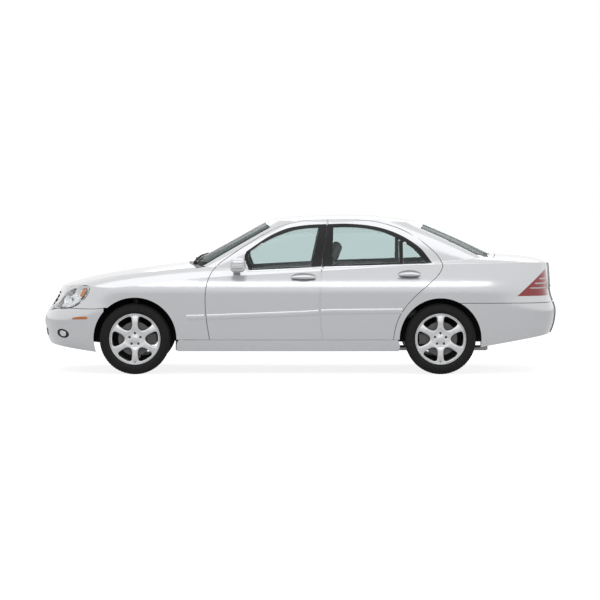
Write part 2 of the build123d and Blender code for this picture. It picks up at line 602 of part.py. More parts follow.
def rim(x, y):
    """Rim, six spokes, hub and brake disc, the outer face towards +Y."""
    barrel = RIM_RADIUS - RIM_WALL
    shell = ring(
        [(-104, RIM_RADIUS), (-104, barrel), (-92, barrel), (-84, barrel - 12), (70, barrel - 16)]
        + [(88, barrel + 0.5), (104, barrel + 0.5), (104, RIM_RADIUS)],
        x, y,
    )
    dish = ring([(58, 0), (58, barrel - 10), (82, barrel - 6), (84, barrel - 24), (74, 70), (82, 58), (82, 0)], x, y)
    window = [(98, -18), (98, 18), (150, 41), (barrel - 34, 62), (barrel - 24, 0), (barrel - 34, -62), (150, -41)]
    openings_cut = []
    for k in range(6):
        c, t = cos(radians(60 * k)), sin(radians(60 * k))
        points = [(x + r * c - q * t, TYRE_RADIUS + r * t + q * c) for r, q in window]
        openings_cut.append(side_prism(points, near=y + 40, far=y + 110, curved=False))
    dish = cut(dish, *openings_cut)
    hub = ring([(-8, HUB_BORE), (-8, HUB_RADIUS), (62, HUB_RADIUS), (62, HUB_BORE)], x, y)
    hat = ring([(-22, 104), (-22, DISC_RADIUS), (-22 + DISC_THICKNESS, DISC_RADIUS), (-22 + DISC_THICKNESS, 60), (-6, 60), (-6, 104)], x, y)
    bolts = []
    for k in range(5):
        angle = radians(90 + 72 * k)
        px, pz = x + BOLT_CIRCLE / 2 * cos(angle), TYRE_RADIUS + BOLT_CIRCLE / 2 * sin(angle)
        bolts.append(drum(px, pz, 13, y + 76, y + 120))
        bolts.append(drum(px, pz, BOLT_HOLE, y - 20, y + 120))
    return cut(union(shell, dish, hub, hat), *bolts)


def caliper(x, y, back):
    """A caliper astride the disc, behind (+1) or ahead (-1) of the axle."""
    cx = x + back * 152
    jaw = block(cx - 38, cx + 38, y - 70, y - 28, TYRE_RADIUS - 62, TYRE_RADIUS + 62)
    nose_jaw = block(cx - 38, cx + 30, y + 12, y + 30, TYRE_RADIUS - 50, TYRE_RADIUS + 50)
    bridge = block(x + back * 174, x + back * 206, y - 70, y + 30, TYRE_RADIUS - 50, TYRE_RADIUS + 50)
    return union(jaw, nose_jaw, bridge)


def upright(x, y, back):
    """The knuckle: a post, a spindle in the hub's bore, and the caliper on its bracket."""
    post = block(x - 40, x + 40, y - 60, y - 34, 170 + SEAT_GAP, 530 - SEAT_GAP)
    spindle = drum(x, TYRE_RADIUS, HUB_BORE - SEAT_GAP, y - 40, y + 40)
    bracket = block(x, x + back * 170, y - 60, y - 40, TYRE_RADIUS - 40, TYRE_RADIUS + 40)
    return union(post, spindle, bracket, caliper(x, y, back))


pieces = {}


def keep(name, piece, mirrored=True):
    """Hand a right-hand piece in under its name, and its mirror image on the left."""
    if mirrored:
        pieces[name + "_right"] = piece
        pieces[name + "_left"] = mirror(piece, about=Plane.XZ)
    else:
        pieces[name] = piece


for end, axle in (("front", FRONT_AXLE), ("rear", REAR_AXLE)):
    keep(end + "_tyre", tyre(axle, WHEEL_Y))
    keep(end + "_rim", rim(axle, WHEEL_Y))
keep("front_knuckle", upright(FRONT_AXLE, WHEEL_Y, 1))

# ---------------------------------------------------------------- running gear on the body
kingpin_y = WHEEL_Y - KINGPIN_INSET
fx, rx = FRONT_AXLE, REAR_AXLE
front_frame = union(
    block(fx - 70, fx + 50, -1, 430, 176, 236),
    block(fx - 34, fx + 34, 400, kingpin_y + 24, 146, 170),
    block(fx - 34, fx + 34, 400, 460, 146, 200),
    block(fx - 26, fx + 26, 528, kingpin_y + 24, 530, 552),
    block(fx - 30, fx + 30, 190, 250, 236, 310),
    block(fx - 30, fx + 30, 385, 425, 236, 380),
    drum(fx, 541, 12, 528, 560),
)
with BuildPart() as strut:
    with Locations((fx, 560, 525)):
        Cylinder(32, 760)
front_rail = common(block(at(-2540), at(-1130), 376, 436, 380, 470), lower_volume(SKIN, SKIN, SKIN))
bonnet_stop = common(drum_up(at(-1960), 406, 14, 469, 1100), crown_volume(SKIN + SEAT_GAP))
front_subframe = both(union(front_frame, strut.part, front_rail, bonnet_stop))
driven = union(
    block(rx - 130, rx + 110, -1, 120, 258, 432),
    drum(rx, TYRE_RADIUS, 18, 100, WHEEL_Y + 40),
    block(rx - 330, rx - 270, -1, 560, 250, 310),
    block(rx - 330, rx - 270, 500, 550, 310, DECK_Z),
    block(rx - 300, rx - 60, 100, 150, 262, 300),
    block(rx - 300, rx + 30, 520, 560, 262, 300),
    block(rx - 30, rx + 30, 520, WHEEL_Y - 30, 262, 300),
    upright(rx, WHEEL_Y, -1),
)
with BuildPart() as prop_shaft:
    with BuildSketch(Plane.YZ.offset(at(-1128))):
        with Locations((0, TYRE_RADIUS)):
            Circle(30)
    extrude(amount=rx - 120 - at(-1128))
driven = union(driven, common(prop_shaft.part, block(-3000, 3000, -1, 60, 200, 500)))
rear_subframe = both(driven)
keep("front_subframe", front_subframe, False)
keep("rear_subframe", rear_subframe, False)


def arch_liner(axle, radius, inner, hole):
    """The inside of a wheel arch: a half drum shell with an inner wall."""
    top = drum(axle, TYRE_RADIUS, radius + LINER_GAP + LINER_WALL, inner, 822)
    top = cut(top, drum(axle, TYRE_RADIUS, radius + LINER_GAP, inner + LINER_WALL, 900))
    top = cut(top, block(axle - 600, axle + 600, inner - 5, 900, -200, 306), *hole)
    return top


with BuildPart() as strut_hole:
    with Locations((fx, 560, 780)):
        Cylinder(44, 200)
front_liner = arch_liner(fx, ARCH_RADIUS, 462, [strut_hole.part])
rear_liner = arch_liner(rx, ARCH_RADIUS_REAR, 612, [drum(rx, TYRE_RADIUS, 42, 600, 640)])
rear_liner = cut(rear_liner, block(rx - 40, rx + 40, 600, 640, 200, TYRE_RADIUS))
rear_liner = cut(rear_liner, block(at(-1000), at(1452), SIDE_SHELL_IN - 30, 1100, 320, 1700))
front_liner = cut(front_liner, block(at(-2700), fx, 798, 1000, 200, 660))
keep("front_arch_liner", front_liner)
keep("rear_arch_liner", rear_liner)
ENGINE_X = -1700.0
with BuildPart() as engine:
    with Locations((at(ENGINE_X), 0, 560)):
        Box(780, 520, 500)
    fillet(engine.edges().filter_by(Axis.X), 40)
engine_gearbox = union(engine.part, block(at(ENGINE_X) + 380, at(-900), -130, 130, 330, 560))
gearbox = common(engine_gearbox, block(-4000, at(-1140), -400, 400, 300, 900))
keep("engine_block", gearbox, False)

# ---------------------------------------------------------------- floor and cabin
floor_top = FLOOR_Z + FLOOR_THICKNESS
HEEL_X = 660.0
pan = block(at(-1130), at(HEEL_X), -1, 686, FLOOR_Z, floor_top)
tunnel = cut(
    block(at(-1130), at(HEEL_X), -1, 150, FLOOR_Z, 420),
    block(at(-1200), at(HEEL_X), -5, 126, 200, 396),
)
pan = cut(pan, block(at(-1200), at(HEEL_X) - 1, -5, 126, 200, 396))
firewall = block(at(-1130), at(-1106), -1, 640, FLOOR_Z, up(940))
firewall = cut(firewall, block(at(-1200), at(HEEL_X), -5, 126, 200, 396))
heel = block(at(HEEL_X), at(HEEL_X) + 24, -1, 686, FLOOR_Z, DECK_Z)
heel = cut(heel, block(at(HEEL_X) - 5, at(HEEL_X) + 40, -5, 126, 200, 396))
deck = union(
    block(at(HEEL_X), at(2330), -1, 604, DECK_Z, DECK_Z + 24), block(at(HEEL_X), at(930), -1, 686, DECK_Z, DECK_Z + 24)
)
bulkhead = block(at(1330), at(1354), -1, 604, DECK_Z, up(1074))
shelf = block(at(1330), at(1850), -1, 604, up(1050), up(1074))
tail_panel = block(at(2306), at(2330), -1, 604, 380, up(684))
rear_rail = common(block(at(2320), at(2540), 380, 450, 500, 580), lower_volume(SKIN, SKIN, SKIN))
boot_stop = common(drum_up(at(2060), 572, 14, DECK_Z + 20, 1200), crown_volume(SKIN + SEAT_GAP))
keep("floor_pan", both(union(pan, tunnel, firewall, heel)), False)
keep("boot_floor", both(union(deck, bulkhead, shelf, tail_panel, rear_rail, boot_stop)), False)


def cushion(x0, x1, y0, y1, z0, z1, soft=30.0):
    with BuildPart() as made:
        with Locations(((x0 + x1) / 2, (y0 + y1) / 2, (z0 + z1) / 2)):
            Box(x1 - x0, y1 - y0, z1 - z0)
        fillet(made.edges(), soft)
    return made.part


def leant(piece, x, z, angle):
    return piece.rotate(Axis((x, 0, z), (0, 1, 0)), angle)


SEAT_Y = 380.0
seat_base = block(at(-300), at(60), SEAT_Y - 200, SEAT_Y + 200, floor_top + SEAT_GAP, 470)
seat_cushion = leant(cushion(at(-400), at(150), SEAT_Y - 255, SEAT_Y + 255, 450, 590), at(0), 500, 4)
seat_back = leant(cushion(at(60), at(180), SEAT_Y - 245, SEAT_Y + 245, 500, 1120, 35), at(110), 520, 20)
head_rest = leant(cushion(at(80), at(165), SEAT_Y - 130, SEAT_Y + 130, 1150, 1310, 30), at(110), 520, 20)
posts = leant(block(at(112), at(126), SEAT_Y - 60, SEAT_Y + 60, 1090, 1180), at(110), 520, 20)
front_seats = both(union(seat_base, seat_cushion, seat_back, head_rest, posts))
keep("front_seats", front_seats, False)
bench_base = block(at(720), at(1100), -1, 560, DECK_Z + FLOOR_THICKNESS + SEAT_GAP, 540)
bench = cushion(at(640), at(1180), -660, 660, 520, 640)
beside_rear_wheel = drum(rx, TYRE_RADIUS, ARCH_RADIUS_REAR + LINER_GAP + LINER_WALL + 4, 606, 1000)
bench = cut(common(bench, block(at(600), at(1200), -10, 700, 500, 700)), beside_rear_wheel)
bench_back = leant(cushion(at(1130), at(1270), -650, 650, 560, 1080, 40), at(1200), 600, 12)
bench_back = cut(common(bench_back, block(at(1000), at(1328), -10, 700, 500, 1200)), beside_rear_wheel)
rear_rests = [leant(cushion(at(1144), at(1224), y - 120, y + 120, 1060, 1190, 28), at(1200), 600, 12) for y in (350,)]
keep("rear_seat", both(union(bench_base, bench, bench_back, *rear_rests)), False)

dash = side_prism(
    [(at(-1000), up(720)), (at(-640), up(700)), (at(-590), up(860)), (at(-650), up(960))]
    + [(at(-800), up(1000)), (at(-1000), up(1000))],
    near=-1, far=715, curved=False,
)
console = block(at(-640), at(180), -1, 110, 424, 560)
binnacle = block(at(-700), at(-600), 250, 490, up(940), up(1010))
half_dash = union(dash, block(at(-900), at(-640), -1, 110, 424, up(720)), console)
column_x, column_z, column_y = at(-470.0), up(905.0), -370.0
dashboard = union(both(half_dash), mirror(binnacle, about=Plane.XZ))
tilt = 24.0
COLUMN_RADIUS = 22.0
lean = Plane(origin=(column_x, column_y, column_z), x_dir=(0, 1, 0), z_dir=(cos(radians(tilt)), 0, sin(radians(tilt))))
with BuildPart() as wheel:
    with Locations(lean.location):
        Torus(184, 15)
        with Locations((0, 0, -4)):
            Cylinder(62, 34)
        for angle in (0, 180, 270):
            with Locations(Rotation(0, 0, angle) * Location((118, 0, -6))):
                Box(130, 34, 14)
        with Locations((0, 0, -70)):
            Cylinder(COLUMN_RADIUS, 120)
steering_wheel = wheel.part
with BuildPart() as column_hole:
    with Locations(lean.location):
        with Locations((0, 0, -130)):
            Cylinder(COLUMN_RADIUS + SEAT_GAP, 200)
dashboard = cut(dashboard, column_hole.part)
keep("steering_wheel", steering_wheel, False)
keep("dashboard", dashboard, False)

# ---------------------------------------------------------------- trim and fittings
SILL_COVER = [[(-1178, 338), (-1196, 300), (-1192, 222)], [(-1192, 222), (960, 222)]]
SILL_COVER += [[(960, 222), (968, 300), (950, 338)], [(950, 338), (-1178, 338)]]
sill_cover = cut(
    common(lower_volume(), runs_prism(*SILL_COVER, near=600, grow=-2.5)), lower_volume(*[SILL_DEPTH - SEAT_GAP] * 3), front_arch, rear_arch
)
keep("sill_covers", both(sill_cover), False)

silencer = cushion(at(1800), at(2200), -470, 470, 330, 438, 40)
with BuildPart() as pipe:
    with BuildSketch(Plane.YZ.offset(at(-1240))):
        with Locations((70, 208)):
            Circle(26)
    extrude(amount=at(1860) - at(-1240))
    with BuildSketch(Plane.XY.offset(208)):
        with Locations((at(-1214), 70)):
            Circle(26)
    extrude(amount=84)
riser = block(at(1800), at(1870), 44, 96, 190, 350)
hangers = [block(at(x) - 12, at(x) + 12, 60, 150, 226, FLOOR_Z) for x in (-900, -200, 520)]
keep("exhaust", union(silencer, pipe.part, riser, *hangers), False)

# The mirror: a shell on a short arm from the door's front corner.
with BuildPart() as mirror_shell:
    with Locations((at(-600), out(985), up(1066))):
        Box(150, 200, 138)
    fillet(mirror_shell.edges(), 44)
mirror_arm = block(at(-650), at(-580), out(800), out(900), up(1010), up(1036))
mirror_arm = cut(union(mirror_shell.part, mirror_arm), common(shape(-1, -1, -1, -1), block(at(-900), at(-300), 500, 960, 700, 1300)))

# Door handles: a bar on two feet, standing off the skin.
def handle(x0, x1, z):
    bar = cushion(at(x0), at(x1), out(926), out(948), up(z) - 15, up(z) + 15, 10)
    feet = [block(at(x) - 16, at(x) + 16, out(845), out(935), up(z) - 11, up(z) + 11) for x in (x0 + 26, x1 - 26)]
    return union(bar, *feet)


front_door = union(front_door, handle(-80, 147, 945))
rear_door = union(rear_door, handle(969, 1150, 972))
keep("front_door", front_door)
keep("rear_door", rear_door)
keep("front_glass", front_glass)
keep("rear_glass", union(rear_glass, quarter_glass))
keep("mirror", mirror_arm)
keep("body_side", body_side)
keep("front_fenders", both(fender), False)
keep("roof_panel", both(roof), False)
keep("front_bumper", both(front_bumper), False)
keep("rear_bumper", both(rear_bumper), False)
keep("headlamps", both(headlamp), False)
keep("tail_lamps", both(tail_lamp), False)
keep("windscreen", both(windscreen), False)
keep("rear_window", both(rear_window), False)
keep("cowl", both(cowl), False)
keep("rear_deck", both(rear_deck), False)
keep("bonnet", both(bonnet), False)
keep("grille", both(grille), False)
keep("boot_lid", both(boot_lid), False)

for name, piece in pieces.items():
    piece.label = name
    export_step(piece, "parts/" + name + ".step")
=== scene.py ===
"""The look of the luxury sedan: finishes, glass, lamps, wheels, trim and cabin, camera and light.

Metres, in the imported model's frame: the front of the car towards -X, its left side towards -Y,
+Z up, the ground at z = 0. Pieces take their places from the CAD nodes' boxes and surfaces.
"""

from math import atan2, copysign, cos, exp, hypot, pi, radians, sin, sqrt

import bmesh
import bpy
from mathutils import Matrix, Vector
from mathutils.bvhtree import BVHTree

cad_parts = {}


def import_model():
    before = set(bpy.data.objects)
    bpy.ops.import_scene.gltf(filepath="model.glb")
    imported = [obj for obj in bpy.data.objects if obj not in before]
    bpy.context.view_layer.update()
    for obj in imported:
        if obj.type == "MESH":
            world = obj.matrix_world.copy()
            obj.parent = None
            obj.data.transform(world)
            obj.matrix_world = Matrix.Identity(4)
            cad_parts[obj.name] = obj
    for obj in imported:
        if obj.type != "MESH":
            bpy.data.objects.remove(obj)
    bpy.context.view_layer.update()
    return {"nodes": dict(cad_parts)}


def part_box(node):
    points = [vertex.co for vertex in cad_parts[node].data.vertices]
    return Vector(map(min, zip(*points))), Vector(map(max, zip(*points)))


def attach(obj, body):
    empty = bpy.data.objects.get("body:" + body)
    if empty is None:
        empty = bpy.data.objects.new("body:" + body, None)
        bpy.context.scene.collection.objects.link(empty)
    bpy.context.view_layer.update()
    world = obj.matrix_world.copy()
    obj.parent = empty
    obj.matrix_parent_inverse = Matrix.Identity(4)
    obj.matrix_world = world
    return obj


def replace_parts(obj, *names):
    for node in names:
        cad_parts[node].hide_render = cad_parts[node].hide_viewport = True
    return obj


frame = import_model()
nodes = frame["nodes"]
SIDES = (("left", -1), ("right", 1))
UP = Vector((0, 0, 1))
AHEAD = Vector((-1, 0, 0))
BACK = Vector((1, 0, 0))


# ---------------------------------------------------------------- finishes
# A Mix node has sockets for each kind of data; these are its colours.
MIX_LOW, MIX_HIGH, MIX_RESULT = 6, 7, 2


class Wire:
    """A node's output, which can be written in sums."""

    def __init__(self, nodes, socket):
        self.nodes = nodes
        self.socket = socket

    def math(self, operation, *others):
        return self.nodes.node("Math", dict(enumerate((self, *others))), operation=operation)

    def __add__(self, other):
        return self.math("ADD", other)

    def __sub__(self, other):
        return self.math("SUBTRACT", other)

    def __rsub__(self, other):
        return self.nodes.node("Math", {0: other, 1: self}, operation="SUBTRACT")

    def __mul__(self, other):
        return self.math("MULTIPLY", other)

    __radd__ = __add__
    __rmul__ = __mul__

    def between(self, low, high):
        """0 below low, 1 above high, and smooth in between."""
        sockets = {"Value": self, "From Min": low, "From Max": high}
        return self.nodes.node("MapRange", sockets, "Result", interpolation_type="SMOOTHSTEP")


class Nodes:
    """A node tree, in which every node comes from one method."""

    def __init__(self, tree):
        self.tree = tree

    def plug(self, slot, value):
        if isinstance(value, Wire):
            self.tree.links.new(value.socket, slot)
        else:
            slot.default_value = value

    def node(self, kind, sockets, out=0, **settings):
        """A node with its settings, then its sockets' values or links; the wire is one output."""
        node = self.tree.nodes.new("ShaderNode" + kind)
        for name, value in settings.items():
            setattr(node, name, value)
        for name, value in sockets.items():
            self.plug(node.inputs[name], value)
        return Wire(self, node.outputs[out])

    def seen(self, glossy):
        """1 for the camera's rays and those through glass, less in reflections, 0 for plain light."""
        kinds = ("Camera", "Transmission", "Glossy")
        camera, through, mirrored = [self.node("LightPath", {}, f"Is {kind} Ray") for kind in kinds]
        return camera.math("MAXIMUM", through).math("MAXIMUM", mirrored * glossy)


class Finish(Nodes):
    """A Principled material, its plain settings, and the nodes that feed the rest."""

    def __init__(self, name, color, **settings):
        self.material = bpy.data.materials.new(name)
        self.material.use_nodes = True
        super().__init__(self.material.node_tree)
        self.shader = self.tree.nodes["Principled BSDF"]
        self.put("Base Color", (*color, 1.0))
        for key, value in settings.items():
            self.put(key.replace("_", " ").title().replace("Ior", "IOR"), value)

    def put(self, name, value):
        self.plug(self.shader.inputs[name], value)

    def where(self):
        """The place on the object, in metres."""
        return self.node("TexCoord", {}, "Object")

    def along(self, axis):
        """One coordinate of the place on the object."""
        return self.node("SeparateXYZ", {0: self.where()}, axis)

    def noise(self, scale, detail=2.0):
        return self.node("TexNoise", {"Vector": self.where(), "Scale": scale, "Detail": detail}, "Fac")

    def cells(self, scale, feature="F1"):
        return self.node("TexVoronoi", {"Vector": self.where(), "Scale": scale}, "Distance", feature=feature)

    def tint(self, factor, low, high):
        """The base colour runs from low to high with the factor."""
        colors = {0: factor, MIX_LOW: (*low, 1.0), MIX_HIGH: (*high, 1.0)}
        self.put("Base Color", self.node("Mix", colors, MIX_RESULT, data_type="RGBA"))

    def rough(self, wave, low, high):
        self.put("Roughness", wave * (high - low) + low)

    def relief(self, height, depth):
        """Small bumps of the given depth in metres."""
        sockets = {"Height": height, "Strength": 1.0, "Distance": depth}
        self.put("Normal", self.node("Bump", sockets, "Normal"))


def silver_paint():
    """Fine metallic flake under a clear coat."""
    f = Finish("silver_paint", (0.63, 0.64, 0.66), metallic=0.72, coat_weight=1.0, coat_roughness=0.02)
    flake = f.cells(5200)
    f.tint(flake.between(0.1, 0.7), (0.64, 0.65, 0.67), (0.74, 0.75, 0.77))
    f.rough(f.noise(900), 0.17, 0.24)
    f.relief(f.noise(260, 1.0), 0.000012)
    return f.material


def rubber(name, low=(0.010, 0.010, 0.011), high=(0.022, 0.022, 0.023)):
    f = Finish(name, low, specular_ior_level=0.25)
    f.tint(f.noise(30, 4.0), low, high)
    f.rough(f.noise(120, 3.0), 0.62, 0.85)
    f.relief(f.noise(900, 3.0), 0.00012)
    return f.material


def cast_metal(name, low, high, rough=(0.3, 0.5), metallic=0.9, grain=600, depth=0.00003):
    """Metal with the soft mottle of a casting or a lacquer."""
    f = Finish(name, low, metallic=metallic)
    f.tint(f.noise(18, 5.0), low, high)
    f.rough(f.noise(60, 3.0), *rough)
    f.relief(f.noise(grain, 2.0), depth)
    return f.material


def chrome():
    f = Finish("bright_trim", (0.80, 0.81, 0.82), metallic=1.0)
    f.rough(f.noise(80, 3.0), 0.05, 0.14)
    f.relief(f.noise(300, 1.0), 0.000006)
    return f.material


def moulded(name, low, high, rough=(0.45, 0.62), cell=1400, depth=0.00006, **settings):
    """Grained plastic."""
    f = Finish(name, low, **settings)
    f.tint(f.noise(40, 3.0), low, high)
    f.rough(f.noise(200, 2.0), *rough)
    f.relief(f.cells(cell), depth)
    return f.material


def hide(name, low, high):
    """Leather: pebbled grain, with a soft sheen."""
    f = Finish(name, low, sheen_weight=0.12)
    f.tint(f.noise(9, 4.0), low, high)
    pebbles = f.cells(620, "SMOOTH_F1")
    f.rough(pebbles, 0.42, 0.62)
    f.relief(pebbles + f.noise(90, 3.0) * 0.5, 0.00022)
    return f.material


def carpet():
    f = Finish("carpet", (0.05, 0.05, 0.055), sheen_weight=0.4)
    f.tint(f.noise(500, 3.0), (0.030, 0.030, 0.034), (0.075, 0.075, 0.082))
    f.rough(f.noise(700, 2.0), 0.85, 1.0)
    f.relief(f.noise(1500, 3.0), 0.0009)
    return f.material


def glass(name, color, smear=0.012, ior=1.33):
    """Clear or tinted glass with a faint smear; a low ior keeps a sloping screen from mirroring."""
    f = Finish(name, color, transmission_weight=1.0, ior=ior)
    f.rough(f.noise(6, 3.0), 0.0, smear)
    return f.material


def lens(name, color, pitch=0.006):
    """A coloured lamp lens with fine upright flutes."""
    f = Finish(name, color, ior=1.45, coat_weight=1.0, coat_roughness=0.02)
    flutes = (f.along("X") * (2 * pi / pitch)).math("SINE")
    f.rough(f.noise(50), 0.10, 0.22)
    f.relief(flutes, 0.0002)
    return f.material


def walnut():
    """Dark figured veneer under lacquer."""
    f = Finish("walnut_veneer", (0.12, 0.05, 0.02), coat_weight=1.0, coat_roughness=0.03)
    rings = (f.along("X") * 46.0 + f.noise(9, 6.0) * 22.0).math("SINE")
    f.tint(rings * 0.5 + 0.5, (0.055, 0.020, 0.009), (0.20, 0.085, 0.034))
    f.rough(f.noise(60, 3.0), 0.25, 0.4)
    f.relief(rings, 0.00002)
    return f.material


PAINT = silver_paint()
TYRE = rubber("tyre_rubber")
SEAL = rubber("seal_rubber", (0.014, 0.014, 0.015), (0.030, 0.030, 0.032))
ALLOY = cast_metal("wheel_alloy", (0.72, 0.73, 0.74), (0.84, 0.85, 0.86), (0.24, 0.34), 0.6)
IRON = cast_metal("brake_iron", (0.10, 0.10, 0.105), (0.20, 0.19, 0.185), (0.40, 0.62), 0.8, 200, 0.0001)
STEEL = cast_metal("chassis_steel", (0.07, 0.07, 0.075), (0.15, 0.145, 0.14), (0.45, 0.65), 0.6, 240, 0.0001)
PIPE = cast_metal("exhaust_steel", (0.32, 0.31, 0.30), (0.50, 0.48, 0.45), (0.28, 0.45), 1.0)
ENGINE = cast_metal("engine_alloy", (0.20, 0.20, 0.21), (0.34, 0.34, 0.34), (0.40, 0.60), 0.7, 150, 0.0003)
LAMP_SILVER = cast_metal(
    "lamp_silver", (0.72, 0.73, 0.74), (0.82, 0.83, 0.84), (0.08, 0.18), 0.85, 400, 0.00001
)
CHROME = chrome()
BLACK = moulded(
    "trim_black", (0.012, 0.012, 0.013), (0.022, 0.022, 0.024), (0.30, 0.42), specular_ior_level=0.25
)
# Dark sheets without reflection in the grille's slots: painted shade for its deep openings.
MESH = moulded(
    "grille_slot_shade", (0.006, 0.006, 0.006), (0.014, 0.014, 0.015), (0.5, 0.7), 260, 0.0012, specular_ior_level=0
)
DARK = moulded("dark_plastic", (0.018, 0.018, 0.019), (0.034, 0.034, 0.036))
UNDERSEAL = moulded("underseal", (0.040, 0.040, 0.042), (0.075, 0.074, 0.072), (0.7, 0.9), 300, 0.0006)
LINER = moulded("arch_liner", (0.008, 0.008, 0.009), (0.018, 0.018, 0.019), (0.8, 0.95), 260, 0.0006)
SOFT_DARK = moulded(
    "dashboard_skin", (0.045, 0.045, 0.050), (0.075, 0.074, 0.080), (0.55, 0.75), 700, 0.00018
)
LINING = moulded("roof_lining", (0.42, 0.42, 0.40), (0.50, 0.49, 0.47), (0.85, 0.95), 900, 0.0003)
PLATE = moulded("blank_plate", (0.62, 0.63, 0.64), (0.70, 0.71, 0.72), (0.35, 0.45), 500, 0.00001)
# The handles' dished plates are a darker silver: painted shade for a recess behind the grip.
HANDLE_PAINTED_SHADE = moulded("handle_dish_painted_shade", (0.36, 0.37, 0.38), (0.42, 0.43, 0.44), (0.30, 0.42), 500, 0.00001)
LEATHER = hide("leather", (0.20, 0.195, 0.19), (0.27, 0.265, 0.255))
LEATHER_DARK = hide("leather_dark", (0.022, 0.022, 0.024), (0.045, 0.044, 0.045))
CARPET = carpet()
WALNUT = walnut()
GLASS = glass("tinted_glass", (0.66, 0.745, 0.742))
# The windscreen and rear window are tinted darker than the side glass: painted shade on the raked screens.
SHADED_SCREEN_GLASS = glass("screen_glass_painted_shade", (0.32, 0.355, 0.355), ior=1.03)
LAMP_GLASS = glass("lamp_glass", (0.97, 0.98, 0.985), 0.03)
LAMP_RED = lens("lamp_red", (0.40, 0.004, 0.008))
LAMP_PALE = lens("lamp_pale", (0.72, 0.60, 0.60))
AMBER = lens("amber_lens", (0.72, 0.20, 0.02), 0.005)
MIRROR = Finish("mirror_glass", (0.85, 0.87, 0.88), metallic=1.0, roughness=0.03).material


# ---------------------------------------------------------------- making pieces
MERGE = 1e-5
ROUND_CRISP = 34
# Rays start this far out; where one misses, the nearest surface to such a place stands in for it.
OUTSIDE = 3.2
NEAR_END, NEAR_FLANK, NEAR_TOP = 2.45, 0.9, 1.1
# The window bands stand this far off the doors, seated a little inside their outer edge.
BAND_STAND, BAND_TURN = 0.0015, 0.010
BAND_SEAT, BAND_LIP = 0.07, 0.97


def piece(name, forms, body, material, slot, crisp=40, bevel=0.0):
    """A mesh piece on a body from its forms, smooth but for edges sharper than the crisp angle."""
    mesh = bpy.data.meshes.new(name)
    bm = bmesh.new()
    for form in forms:
        form(bm)
    bmesh.ops.remove_doubles(bm, verts=bm.verts, dist=MERGE)
    bmesh.ops.recalc_face_normals(bm, faces=bm.faces)
    for face in bm.faces:
        face.smooth = True
    for edge in bm.edges:
        edge.smooth = edge.calc_face_angle(0.0) < radians(crisp)
    bm.to_mesh(mesh)
    bm.free()
    mesh.materials.append(material)
    obj = bpy.data.objects.new(name, mesh)
    bpy.context.scene.collection.objects.link(obj)
    if bevel:
        rounding = obj.modifiers.new("rounding", "BEVEL")
        rounding.width = bevel
        rounding.segments = 3
        rounding.harden_normals = True
    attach(obj, body)
    return obj


def sheet(rows, across=False, along=False, capped=False):
    """A skin over rows of as many points; it may close across or along them, or cap its end rings."""
    if across:
        rows = [row + row[:1] for row in rows]
    if along:
        rows = rows + rows[:1]

    wide = len(rows[0])

    def form(bm):
        grid = bmesh.ops.create_grid(bm, x_segments=wide - 1, y_segments=len(rows) - 1)["verts"]
        for vert, point in zip(grid, [p for row in rows for p in row]):
            vert.co = point
        if capped:
            bm.faces.new(grid[: wide - 1])
            bm.faces.new(grid[-wide:-1])

    return form


def solid(rows):
    """A closed body through rings of as many points."""
    return sheet(rows, across=True, capped=True)


def block(size, place):
    """A block of that size about a place."""
    matrix = Matrix.LocRotScale(Vector(place), None, Vector(size))
    return lambda bm: bmesh.ops.create_cube(bm, size=1.0, matrix=matrix)


def flowing(points, count):
    """A smooth curve through the points, as count points spaced evenly along it."""
    points = [Vector(p) for p in points]
    if len(points) > 2:
        dense = []
        ends = [2 * points[0] - points[1]] + points + [2 * points[-1] - points[-2]]
        for a, b, c, d in zip(ends, ends[1:], ends[2:], ends[3:]):
            for k in range(12):
                t = k / 12
                bend = (2 * a - 5 * b + 4 * c - d) * t * t + (3 * b - a - 3 * c + d) * t**3
                dense.append(0.5 * (2 * b + (c - a) * t + bend))
        dense.append(points[-1])
    else:
        dense = points
    reach = [0.0]
    for a, b in zip(dense, dense[1:]):
        reach.append(reach[-1] + (b - a).length)
    even, k = [], 0
    for i in range(count):
        want = reach[-1] * i / (count - 1)
        while k < len(dense) - 2 and reach[k + 1] < want:
            k += 1
        span = reach[k + 1] - reach[k]
        even.append(dense[k].lerp(dense[k + 1], (want - reach[k]) / span if span else 0.0))
    return even


def outline_points(runs, counts):
    """Points round a closed side-view outline of joined runs, without doubling the corners."""
    points = []
    for run, count in zip(runs, counts):
        points += flowing([(x, 0, z) for x, z in run], count + 1)[:-1]
    return points


def circle(count, wide=1.0, tall=1.0):
    """Even (across, up) points round a circle or an ellipse."""
    turns = [2 * pi * k / count for k in range(count)]
    return [(wide * cos(t), tall * sin(t)) for t in turns]


def turned(name, profile, centre, sign, body, material, slot, steps=96, crisp=ROUND_CRISP):
    """A closed (outward, radius) profile spun about a wheel's axle."""

    def form(bm):
        ring = [bm.verts.new(centre + Vector((r, sign * a, 0))) for a, r in profile]
        edges = [bm.edges.new(pair) for pair in zip(ring, ring[1:] + ring[:1])]
        bmesh.ops.spin(
            bm, geom=ring + edges, cent=centre, axis=(0, 1, 0), angle=2 * pi, steps=steps, use_merge=True
        )

    return piece(name, [form], body, material, slot, crisp)


def tube(name, points, radius, body, material, slot, sides=12, count=40, taper=None):
    """A round bar along a smooth path, with closed ends."""
    line = flowing(points, count)
    rows = []
    for i, p in enumerate(line):
        ahead = (line[min(i + 1, count - 1)] - line[max(i - 1, 0)]).normalized()
        lift = UP if abs(ahead.z) < 0.9 else BACK
        u = ahead.cross(lift).normalized()
        v = ahead.cross(u)
        r = radius * (taper(i / (count - 1)) if taper else 1.0)
        rows.append([p + (u * a + v * b) * r for a, b in circle(sides)])
    return piece(name, [solid(rows)], body, material, slot, ROUND_CRISP)


